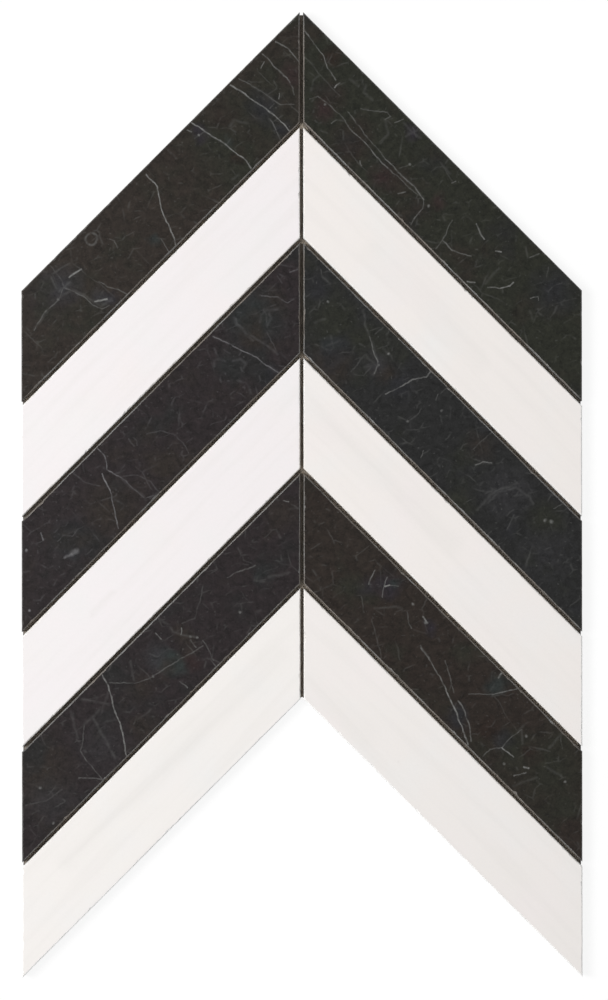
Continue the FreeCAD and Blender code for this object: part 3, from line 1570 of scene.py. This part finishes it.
@dataclass(frozen=True)
class OverheadCamera:
    """A camera that looks straight down on the sheet, within a fraction of a degree."""

    place: Vector = (-0.0037, 0.0019, 1.5)
    tilt: Vector = (-0.161, -0.178, -0.064)
    lens: float = 119.86
    film: float = 36.0
    nearest: float = 0.01

    def build(self) -> None:
        """Adds the camera and makes it the scene's."""
        camera = bpy.data.cameras.new("camera")
        camera.type = "PERSP"
        camera.sensor_width = self.film
        camera.lens = self.lens
        camera.clip_start = self.nearest
        holder = added("camera", camera)
        holder.location = self.place
        holder.rotation_euler = [math.radians(angle) for angle in self.tilt]
        bpy.context.scene.camera = holder


# The veins and flecks of the black strips, by kind
LEFT_ROW1_VEINS = (
    *veins(Trace.FAINT, ((-112.3, 102.0), (-107.3, 96.1), (-106.4, 93.0)), ((-48.0, 159.5), (-43.5, 162.5))),
    *veins(
        Trace.FINE,
        ((-5.0, 184.5), (-3.5, 182.0), (-3.0, 179.0)),
        ((-28.0, 186.0), (-22.3, 182.8), (-17.7, 180.8), (-12.6, 176.3), (-9.3, 175.0), (-2.8, 174.6)),
        ((-14.5, 168.5), (-9.3, 158.9)), ((-63.0, 114.5), (-61.2, 111.4), (-58.9, 107.3)),
        ((-86.0, 114.6), (-84.0, 113.8), (-82.2, 110.5)),
        ((-106.4, 93.0), (-101.5, 90.8), (-97.0, 88.1), (-93.5, 84.7), (-89.4, 83.4), (-86.3, 85.2)),
        ((-106.4, 93.0), (-109.0, 87.6), (-114.5, 82.7), (-118.1, 77.3), (-119.9, 73.7)),
        ((-90.8, 95.1), (-87.2, 93.4), (-81.9, 91.9), (-78.3, 89.9)), ((-14.2, 173.0), (-12.4, 175.0)),
    ),
    *veins(
        Trace.CLEAR,
        ((-11.5, 203.0), (-6.0, 199.3), (-1.0, 194.0)), ((-17.5, 197.5), (-9.5, 189.5), (-5.0, 184.5)),
        ((-51.0, 163.2), (-49.2, 162.4)), ((-16.7, 193.8), (-18.0, 191.2)), ((-10.2, 177.2), (-9.8, 179.2)),
    ),
    *veins(
        Trace.STRONG,
        ((-31.5, 183.5), (-21.5, 176.5), (-13.0, 170.5), (-5.0, 163.0)),
        ((-49.0, 166.5), (-36.5, 158.5), (-27.0, 151.5), (-22.5, 146.5)),
        ((-69.5, 143.5), (-65.0, 138.5), (-62.5, 127.5), (-58.5, 119.0), (-56.5, 112.0)),
    ),
    *veins(Trace.BRIGHT, ((-103.6, 97.3), (-98.8, 101.1)), ((-92.4, 86.4), (-87.2, 88.1))),
    *veins(Trace.FLECK, ((-109.2, 87.8),), ((-45.9, 161.1),)),
    *veins(
        Trace.WISP,
        ((-22.3, 182.8), (-17.7, 180.8), (-12.6, 176.3)), ((-112.5, 97.0), (-109.0, 91.5), (-103.5, 95.0)),
        ((-108.5, 89.0), (-101.5, 91.5), (-96.5, 88.5)), ((-98.0, 89.5), (-90.0, 84.8), (-85.0, 88.0)),
        ((-120.0, 74.0), (-113.5, 83.5)), ((-31.5, 141.0), (-28.0, 143.4)),
        ((-32.0, 164.7), (-30.0, 167.9), (-28.1, 167.3), (-23.5, 166.6)),
    ),
    RingVein(Trace.RING, ((-94.0, 115.0),)),
)
RIGHT_ROW1_VEINS = (
    *veins(
        Trace.FAINT,
        ((1.5, 196.0), (8.5, 187.5), (17.0, 179.0)), ((50.0, 164.5), (51.5, 160.5)),
        ((43.5, 146.0), (48.0, 147.5)), ((109.6, 97.7), (110.6, 101.5)),
    ),
    *veins(
        Trace.FINE,
        ((3.9, 177.5), (7.2, 178.6), (10.9, 176.0), (14.7, 172.3), (22.9, 163.3)),
        ((38.5, 146.2), (44.5, 141.2), (52.5, 134.5)),
        ((20.8, 171.0), (26.0, 165.0), (29.5, 159.5), (37.5, 150.5)),
        ((54.5, 132.0), (53.9, 127.9), (49.2, 121.3)),
        ((26.6, 173.0), (38.5, 171.1), (39.7, 169.3), (37.0, 167.8)), ((13.5, 166.0), (15.8, 167.3)),
        ((67.1, 123.3), (64.3, 116.6), (60.1, 110.0)), ((102.5, 106.0), (106.5, 108.0)),
    ),
    *veins(
        Trace.CLEAR,
        ((1.5, 207.5), (9.5, 196.9), (11.7, 190.2), (15.8, 185.7)),
        ((22.9, 163.3), (32.5, 152.1), (38.5, 146.2)),
        ((37.5, 150.5), (45.0, 142.5), (51.0, 138.5), (54.5, 132.0)), ((53.0, 126.5), (50.8, 123.5)),
        ((41.5, 166.3), (45.5, 168.0)), ((26.3, 149.5), (27.3, 147.2)), ((43.0, 135.0), (46.8, 136.3)),
        ((62.6, 113.8), (67.2, 109.6), (75.7, 106.9)), ((83.2, 93.0), (88.9, 92.5)),
        ((67.1, 139.4), (69.0, 140.2)), ((102.1, 88.2), (105.9, 88.7), (106.4, 86.8)),
    ),
    *veins(
        Trace.STRONG,
        ((15.0, 182.5), (17.5, 184.5)), ((78.0, 121.0), (79.9, 116.7), (81.8, 114.3)),
        ((87.2, 109.2), (89.6, 108.7)), ((88.9, 92.5), (93.6, 93.0), (95.0, 94.4)),
        ((74.5, 95.5), (78.0, 95.0)),
    ),
    *veins(Trace.FLECK, ((10.5, 175.0),), ((48.0, 147.7),), ((56.7, 128.8),)),
    *veins(
        Trace.WISP,
        ((4.2, 181.2), (5.7, 184.9), (7.9, 187.2)), ((45.0, 142.5), (51.0, 138.5), (54.5, 132.0)),
        ((37.0, 167.8), (38.5, 161.8), (35.5, 157.3)), ((45.8, 166.5), (49.5, 163.0), (53.5, 160.0)),
        ((47.0, 160.5), (52.0, 164.0)), ((21.8, 186.0), (25.5, 183.5)),
        ((29.0, 183.5), (28.0, 180.0), (32.0, 177.0)), ((88.0, 101.5), (82.3, 94.8)),
        ((63.5, 147.5), (66.0, 144.0)), ((102.0, 82.5), (103.5, 79.0)),
    ),
)
LEFT_ROW3_VEINS = (
    *veins(
        Trace.FAINT,
        ((-29.8, 79.0), (-29.4, 76.4), (-26.4, 74.5)), ((-10.8, 98.0), (-9.0, 95.0)),
        ((-80.0, 8.5), (-74.0, 9.0), (-67.5, 6.5), (-64.0, 1.5)),
        ((-69.4, 27.2), (-63.1, 28.5), (-56.9, 26.7), (-52.8, 23.2), (-50.6, 18.7)),
        ((-102.5, 9.5), (-97.0, 6.0), (-90.5, 4.5)), ((-77.5, 25.4), (-76.6, 23.2), (-75.3, 21.8)),
        ((-75.3, 25.9), (-73.9, 24.1), (-74.1, 21.8)),
        ((-109.5, -21.0), (-107.0, -18.0), (-102.5, -18.5), (-100.5, -15.0)),
    ),
    *veins(
        Trace.FINE,
        ((-18.2, 89.1), (-10.8, 88.7), (-6.3, 85.7), (-3.3, 87.2)),
        ((-81.0, 8.0), (-79.0, 6.5), (-74.5, 2.0), (-70.0, -1.5), (-65.0, 0.0)),
    ),
    *veins(
        Trace.CLEAR,
        ((-39.5, 71.0), (-31.0, 67.0), (-22.4, 62.9), (-10.5, 55.0)), ((-5.3, 99.9), (-1.5, 101.2)),
        ((-91.0, 21.0), (-88.5, 17.5), (-87.5, 11.5), (-81.0, 8.0)), ((-86.0, 2.0), (-82.0, -15.0)),
        ((-117.0, -17.0), (-116.0, -20.5)),
    ),
    *veins(Trace.STRONG, ((-89.5, 9.5), (-86.0, 2.0))),
    *veins(Trace.FLECK, ((-106.2, -28.0), (-103.2, -26.2)), ((-123.5, -25.0),), ((-122.5, -51.5),)),
    *veins(
        Trace.WISP,
        ((-39.5, 71.0), (-33.0, 68.0)), ((-14.0, 57.5), (-10.5, 55.0)),
        ((-30.2, 79.0), (-29.4, 76.0), (-26.4, 74.1), (-22.0, 69.5)),
        ((-19.0, 77.5), (-18.3, 80.5), (-15.3, 82.7), (-10.8, 83.5)),
        ((-15.3, 76.0), (-13.4, 79.0), (-14.5, 81.2)), ((-22.7, 71.5), (-10.8, 63.3)),
        ((-39.1, 57.3), (-39.1, 60.3), (-36.9, 61.1), (-34.6, 60.3)),
        ((-30.9, 60.3), (-27.2, 61.1), (-24.9, 58.8), (-26.4, 56.6)),
        ((-28.7, 51.4), (-24.2, 49.1), (-22.7, 45.4)), ((-81.0, 8.0), (-77.0, 4.0), (-70.5, -0.5)),
        ((-67.5, -1.5), (-63.5, 1.5)),
    ),
    *veins(Trace.LENS, ((-103.2, -26.2), (-101.0, -24.9))),
)
RIGHT_ROW3_VEINS = (
    *veins(
        Trace.FAINT,
        ((27.6, 83.0), (28.3, 76.5), (30.5, 70.5)), ((22.3, 54.9), (27.9, 62.5)),
        ((32.8, 71.6), (36.2, 75.0)), ((8.4, 100.9), (9.1, 97.4), (13.3, 94.6)),
        ((76.5, 20.0), (79.0, 22.5), (85.0, 27.5)), ((86.5, 2.0), (96.4, 5.0)), ((95.0, -9.0), (92.0, -15.5)),
        ((47.5, 33.0), (52.0, 36.0), (53.5, 38.5)),
    ),
    *veins(
        Trace.FINE,
        ((60.0, 42.5), (61.0, 45.0)), ((53.5, 16.5), (54.5, 19.5)), ((113.0, -6.5), (117.5, -4.0)),
    ),
    *veins(
        Trace.CLEAR,
        ((30.5, 70.5), (31.8, 64.5), (34.0, 59.5), (32.4, 54.0)),
        ((37.5, 45.0), (44.0, 48.5), (49.5, 51.5), (55.5, 52.5), (58.0, 55.5)),
        ((77.9, 13.6), (81.2, 14.7), (85.0, 14.1)),
    ),
    *veins(Trace.FLECK, ((34.1, 58.0),), ((38.5, 63.0),), ((11.9, 86.6),), ((47.5, 33.0),), ((62.5, 37.9),)),
    *veins(Trace.SPOT, ((108.9, -11.7),), ((111.8, -12.7),)),
    *veins(
        Trace.WISP,
        ((27.6, 83.0), (28.3, 76.5), (30.5, 70.5), (34.0, 59.5), (32.0, 53.5)), ((36.2, 65.3), (39.7, 61.8)),
        ((28.5, 62.5), (32.5, 58.5)), ((9.1, 97.4), (13.3, 94.6)), ((6.0, 77.0), (11.0, 78.8)),
        ((13.4, 71.0), (14.5, 66.2)), ((11.3, 66.9), (17.2, 68.7)),
        ((77.9, 13.6), (81.2, 14.7), (85.0, 14.1)), ((78.4, -7.2), (84.1, 0.4), (89.8, 3.4), (96.4, 5.0)),
        ((83.0, -3.0), (88.0, 1.5), (95.6, 3.3), (101.9, -0.6), (103.8, -4.2)),
    ),
)
LEFT_ROW5_VEINS = (
    *veins(
        Trace.FAINT,
        ((-28.8, -23.3), (-25.9, -29.2), (-22.5, -30.7)), ((-4.8, -4.6), (-2.6, -5.7)),
        ((-44.5, -41.2), (-45.7, -48.6), (-48.3, -55.3), (-53.5, -57.6)),
        ((-64.0, -55.3), (-63.2, -58.3), (-59.5, -58.3), (-58.0, -61.3), (-54.2, -63.1), (-46.8, -63.5)),
        ((-98.5, -91.5), (-86.5, -93.0)), ((-123.5, -138.5), (-114.5, -137.0), (-107.5, -132.0)),
    ),
    *veins(
        Trace.FINE,
        ((-33.3, -37.1), (-27.4, -34.5), (-20.7, -31.8)), ((-49.8, -65.0), (-47.5, -68.0)),
        ((-44.5, -65.0), (-42.3, -68.7), (-39.5, -74.0)),
        ((-86.3, -83.8), (-74.5, -84.3), (-66.9, -80.9), (-56.0, -74.5), (-44.5, -67.5)),
        ((-97.2, -102.7), (-98.6, -110.3), (-99.7, -114.5), (-89.2, -128.2)),
        ((-100.0, -126.5), (-92.5, -127.0), (-88.5, -128.0)), ((-40.5, -74.0), (-37.5, -77.5)),
    ),
    *veins(
        Trace.CLEAR,
        ((-8.1, -2.7), (-5.9, -3.1)), ((-54.2, -63.1), (-53.9, -59.8)), ((-66.0, -61.8), (-63.0, -64.5)),
        ((-54.5, -83.5), (-51.5, -86.0)),
    ),
    *veins(Trace.STRONG, ((-89.5, -81.0), (-87.0, -84.5), (-84.5, -94.5), (-80.5, -106.0), (-78.5, -118.0))),
    *veins(
        Trace.FLECK,
        ((-27.9, -52.7),), ((-49.8, -63.6),), ((-46.8, -63.5),), ((-117.5, -131.0),), ((-111.5, -147.0),),
        ((-66.9, -80.9),),
    ),
    *veins(
        Trace.WISP,
        ((-21.3, -38.1), (-16.8, -38.9)), ((-15.2, -36.7), (-6.2, -35.2)),
        ((-64.0, -55.3), (-59.5, -58.3), (-58.0, -61.3), (-54.2, -63.1), (-46.8, -63.5)),
        ((-98.5, -91.5), (-86.5, -93.5)), ((-103.3, -97.1), (-100.5, -108.4)),
        ((-97.2, -102.7), (-89.7, -95.2)), ((-93.4, -99.9), (-83.5, -117.8)),
        ((-87.0, -88.0), (-89.5, -97.0)), ((-77.0, -74.5), (-75.0, -83.0)),
    ),
)
RIGHT_ROW5_VEINS = (
    *veins(
        Trace.FAINT,
        ((26.7, -45.2), (27.6, -52.7)), ((31.5, -56.0), (35.5, -73.0)), ((32.2, -50.8), (41.9, -49.7)),
        ((115.8, -108.0), (116.6, -113.4)),
    ),
    *veins(
        Trace.FINE,
        ((39.9, -40.4), (43.5, -40.5)), ((47.0, -52.5), (49.2, -60.0)), ((53.0, -67.5), (57.0, -73.5)),
        ((64.2, -74.4), (66.2, -82.0), (68.5, -88.5)), ((74.5, -89.5), (86.0, -89.5)),
        ((81.0, -116.8), (84.5, -114.2), (89.5, -113.4), (93.7, -108.3), (98.0, -105.8)),
    ),
    *veins(
        Trace.CLEAR,
        ((29.8, -40.1), (32.4, -33.7)), ((35.8, -45.7), (36.9, -41.2), (38.4, -37.1)),
        ((53.2, -68.4), (58.3, -76.0), (64.2, -86.2)),
        ((70.0, -92.1), (72.5, -97.2), (75.0, -102.3), (75.5, -110.7)), ((85.5, -89.8), (95.8, -87.0)),
        ((94.6, -126.1), (100.5, -124.4)),
    ),
    *veins(
        Trace.STRONG,
        ((64.2, -86.2), (69.2, -98.0), (74.2, -112.0)), ((89.5, -113.4), (94.5, -117.6)),
        ((99.0, -122.2), (101.5, -122.6)),
    ),
    *veins(
        Trace.BRIGHT,
        ((37.4, -40.8), (39.9, -40.4)), ((54.3, -54.6), (56.2, -57.0)), ((88.2, -82.0), (89.4, -80.2)),
    ),
    *veins(Trace.FLECK, ((49.6, -49.4),), ((100.5, -108.3),), ((90.4, -120.7),), ((117.9, -128.7),)),
    *veins(Trace.SPOT, ((55.6, -57.0),)),
    *veins(
        Trace.WISP,
        ((32.2, -50.8), (41.9, -49.7), (44.5, -51.0)), ((94.6, -130.1), (104.8, -126.8)),
        ((110.7, -113.3), (115.8, -107.3)), ((98.0, -105.8), (99.0, -112.0)),
        ((110.0, -122.0), (116.0, -126.0)),
    ),
)
# The clouds of the black strips, in the order in which they lie on each other
LEFT_ROW1_STAINS = (
    Stain(Tint.GREEN, (-38.0, 158.0), 15.0),
    Stain(Tint.GREEN, (-20.0, 168.0), 19.0),
    Stain(Tint.GREEN, (-10.0, 190.0), 12.0),
    Stain(Tint.GREEN, (-26.0, 147.0), 11.0),
    Stain(Tint.RUSSET, (-35.0, 169.0), 7.0),
    Stain(Tint.BLUE, (-17.0, 173.0), 8.0),
    Stain(Tint.BLUE, (-9.0, 163.0), 5.0),
    Stain(Tint.MAROON, (-28.0, 152.0), 4.0),
    Stain(Tint.RED, (-4.0, 188.0), 7.0, 0.7),
    Stain(Tint.PURPLE, (-114.0, 88.0), 10.0),
    Stain(Tint.JADE, (-32.6, 158.9), 2.5, 0.6),
    Stain(Tint.VIOLET, (-45.5, 161.5), 4.0, 0.8),
    Stain(Tint.VIOLET, (-85.0, 88.5), 4.0, 0.8),
    Stain(Tint.SLATE, (-106.5, 93.5), 9.0, 1.0),
    Stain(Tint.SLATE, (-88.5, 86.5), 6.0, 0.8),
    Stain(Tint.JADE, (-66.0, 113.5), 3.5),
)
RIGHT_ROW1_STAINS = (
    Stain(Tint.RUSSET, (22.0, 157.0), 10.0, 1.0),
    Stain(Tint.RUSSET, (12.0, 178.0), 7.0),
    Stain(Tint.RUSSET, (46.0, 124.0), 7.0, 0.7),
    Stain(Tint.RED, (9.0, 171.0), 5.0, 0.9),
    Stain(Tint.MAROON, (14.5, 196.0), 5.0),
    Stain(Tint.VIOLET, (50.0, 162.5), 4.5),
    Stain(Tint.RED, (36.5, 142.0), 6.0, 0.9),
    Stain(Tint.RED, (61.0, 132.0), 4.0, 0.7),
    Stain(Tint.BLUE, (113.0, 91.0), 11.0),
)
LEFT_ROW3_STAINS = (
    Stain(Tint.TEAL, (-21.5, 79.0), 14.0, 1.0),
    Stain(Tint.TEAL, (-32.2, 58.1), 7.0, 0.7),
    Stain(Tint.BLUE, (-14.6, 53.6), 6.0),
    Stain(Tint.BROWN, (-85.0, -7.0), 14.0),
    Stain(Tint.BROWN, (-50.0, 6.0), 8.0, 0.6),
    Stain(Tint.SLATE, (-103.4, -26.1), 4.0, 1.0),
    Stain(Tint.BLUE, (-104.0, -20.0), 9.0, 0.7),
)
RIGHT_ROW3_STAINS = (
    Stain(Tint.GREEN, (15.0, 78.0), 16.0),
    Stain(Tint.BROWN, (11.0, 56.0), 11.0, 1.0),
    Stain(Tint.BROWN, (37.0, 55.0), 6.0),
    Stain(Tint.BLUE, (7.0, 91.0), 6.0),
    Stain(Tint.SLATE, (33.0, 60.0), 6.0, 1.0),
    Stain(Tint.TEAL, (13.9, 67.4), 5.0, 1.0),
    Stain(Tint.GREEN, (109.0, -11.0), 8.0),
    Stain(Tint.SLATE, (92.0, 1.0), 11.0, 0.6),
    Stain(Tint.SLATE, (110.0, -26.0), 12.0, 0.4),
    Stain(Tint.BROWN, (80.0, 22.0), 7.0, 0.7),
)
LEFT_ROW5_STAINS = (
    Stain(Tint.SLATE, (-63.5, -72.5), 7.0, 1.0),
    Stain(Tint.JADE, (-58.5, -72.0), 4.5, 1.0),
    Stain(Tint.JADE, (-57.0, -77.0), 5.5, 1.0),
    Stain(Tint.RED, (-49.5, -74.7), 4.5, 0.8),
    Stain(Tint.BROWN, (-73.0, -86.5), 7.0, 0.7),
    Stain(Tint.BROWN, (-71.0, -104.0), 7.0, 0.7),
    Stain(Tint.TEAL, (-18.4, -35.2), 5.0, 0.9),
    Stain(Tint.BROWN, (-117.0, -126.0), 15.0),
    Stain(Tint.SLATE, (-112.0, -137.0), 12.0, 0.5),
    Stain(Tint.SLATE, (-90.0, -112.0), 12.0, 0.4),
    Stain(Tint.BROWN, (-9.0, -8.0), 8.0, 0.7),
)
RIGHT_ROW5_STAINS = (
    Stain(Tint.VIOLET, (28.0, -42.0), 5.0),
    Stain(Tint.VIOLET, (38.5, -40.5), 6.5),
    Stain(Tint.VIOLET, (57.0, -59.5), 3.5),
    Stain(Tint.JADE, (42.0, -39.8), 2.5, 0.8),
    Stain(Tint.GREEN, (112.0, -124.0), 19.0),
    Stain(Tint.GREEN, (96.0, -113.0), 9.0),
    Stain(Tint.MAROON, (82.7, -106.0), 6.0),
    Stain(Tint.MAROON, (102.0, -115.5), 5.0),
    Stain(Tint.BLUE, (69.5, -99.5), 5.5),
    Stain(Tint.BLUE, (90.0, -110.0), 5.0, 0.7),
    Stain(Tint.JADE, (87.0, -85.0), 5.5, 0.9),
)
# The streaks of the white strips
LEFT_ROW4_STREAKS = (
    *veins(Trace.BAND, ((-94.5, -53.5), (-85.0, -44.0))),
)
LEFT_ROW6_STREAKS = (
    *veins(Trace.HAZE, ((-106.0, -163.5), (-84.5, -141.0), (-67.0, -126.5), (-37.5, -97.5), (-10.0, -72.0))),
)
RIGHT_ROW2_STREAKS = (
    *veins(Trace.FINE, ((60.5, 78.5), (67.5, 71.5))),
    *veins(Trace.HAZE, ((30.0, 108.0), (58.0, 82.0), (80.0, 60.0))),
)
RIGHT_ROW4_STREAKS = (
    *veins(Trace.HAZE, ((4.0, 37.0), (30.0, 14.0), (68.0, -22.0))),
)
RIGHT_ROW6_STREAKS = (
    *veins(Trace.FLECK, ((43.0, -119.5),)),
    *veins(Trace.MIST, ((2.0, -84.0), (30.0, -108.0))),
)
BLACK_POLISHES = (
    BlackMarble("black_left_row1", Tint.BROWN, (Tint.GREEN, Tint.RUSSET),
                LEFT_ROW1_VEINS, LEFT_ROW1_STAINS),
    BlackMarble("black_right_row1", Tint.GREEN, (Tint.GREY, Tint.RUSSET),
                RIGHT_ROW1_VEINS, RIGHT_ROW1_STAINS),
    BlackMarble("black_left_row3", Tint.PURPLE, (Tint.GREY, Tint.BROWN),
                LEFT_ROW3_VEINS, LEFT_ROW3_STAINS, vein_colour=(0.205, 0.200, 0.208)),
    BlackMarble("black_right_row3", Tint.GREY, (Tint.GREEN, Tint.BLUE),
                RIGHT_ROW3_VEINS, RIGHT_ROW3_STAINS),
    BlackMarble("black_left_row5", Tint.PURPLE, (Tint.BROWN, Tint.GREY),
                LEFT_ROW5_VEINS, LEFT_ROW5_STAINS),
    BlackMarble("black_right_row5", Tint.RUSSET, (Tint.BROWN, Tint.GREEN),
                RIGHT_ROW5_VEINS, RIGHT_ROW5_STAINS),
)
WHITE_POLISHES = (
    WhiteMarble("white_left_row2", Side.LEFT, Cast.LILAC),
    WhiteMarble("white_right_row2", Side.RIGHT, Cast.CREAM, RIGHT_ROW2_STREAKS),
    WhiteMarble("white_left_row4", Side.LEFT, Cast.LILAC, LEFT_ROW4_STREAKS),
    WhiteMarble("white_right_row4", Side.RIGHT, Cast.CREAM, RIGHT_ROW4_STREAKS),
    WhiteMarble("white_left_row6", Side.LEFT, Cast.PEARL, LEFT_ROW6_STREAKS,
                rosy=(0.884, 0.846, 0.836), cool=(0.861, 0.853, 0.844)),
    WhiteMarble("white_right_row6", Side.RIGHT, Cast.IVORY, RIGHT_ROW6_STREAKS),
)
POLISHES = {polish.name: polish for polish in BLACK_POLISHES + WHITE_POLISHES}
SAWN_STONES = {
    Stone.BLACK: SawnStone("black", dust=(0.205, 0.204, 0.200), warm_dust=(0.192, 0.170, 0.150),
                           stone=(0.090, 0.082, 0.074), smear_and_painted_shade=(0.500, 0.440, 0.370),
                           wiped_and_painted_light=(0.030, 0.028, 0.026)),
    Stone.WHITE: SawnStone("white", dust=(0.880, 0.870, 0.855), warm_dust=(0.870, 0.835, 0.800),
                           # Darker than the adhesive: painted shade on the white walls of the joints
                           stone=(0.740, 0.720, 0.695), smear_and_painted_shade=(0.300, 0.260, 0.215),
                           # Paler than the clean stone: painted light on the white strips' outer edges
                           wiped_and_painted_light=(0.930, 0.925, 0.915), roughness=0.6),
}


def lay_strips(layout: SheetLayout) -> list[bpy.types.Object]:
    """Builds the twelve strips, row by row from the tip.

    Args:
        layout: The sheet's lines.

    Returns:
        The strips.
    """
    sawn = {stone: finish.material(layout) for stone, finish in SAWN_STONES.items()}
    strips = []
    for row in range(1, ROWS + 1):
        for side in Side:
            node, stone = strip_node(row, side), row_stone(row)
            strip = SawnStrip(node, stone, side, POLISHES[node], seed=10 * row + side.value)
            strips.append(strip.build(sawn[stone]))
    return strips


def main() -> None:
    """Builds the sheet, the studio and the camera, in order."""
    logging.basicConfig(level=logging.INFO, format="%(name)s: %(message)s")
    layout = SheetLayout.read()
    lay_strips(layout)
    bed = AdhesiveBed(layout)
    # How strongly painted light pales the adhesive at each crossing, from how high the adhesive stands there
    painted_light_spots = tuple((place, rise / max(bed.pool_rises)) for place, rise in bed.crossings())
    bed.build(BeddingAdhesive(layout, painted_light_spots).material())
    WovenNet(layout).build()
    Studio().build()
    OverheadCamera().build()
    bpy.context.scene.view_settings.view_transform = "Standard"


if __name__ == "__main__":
    main()
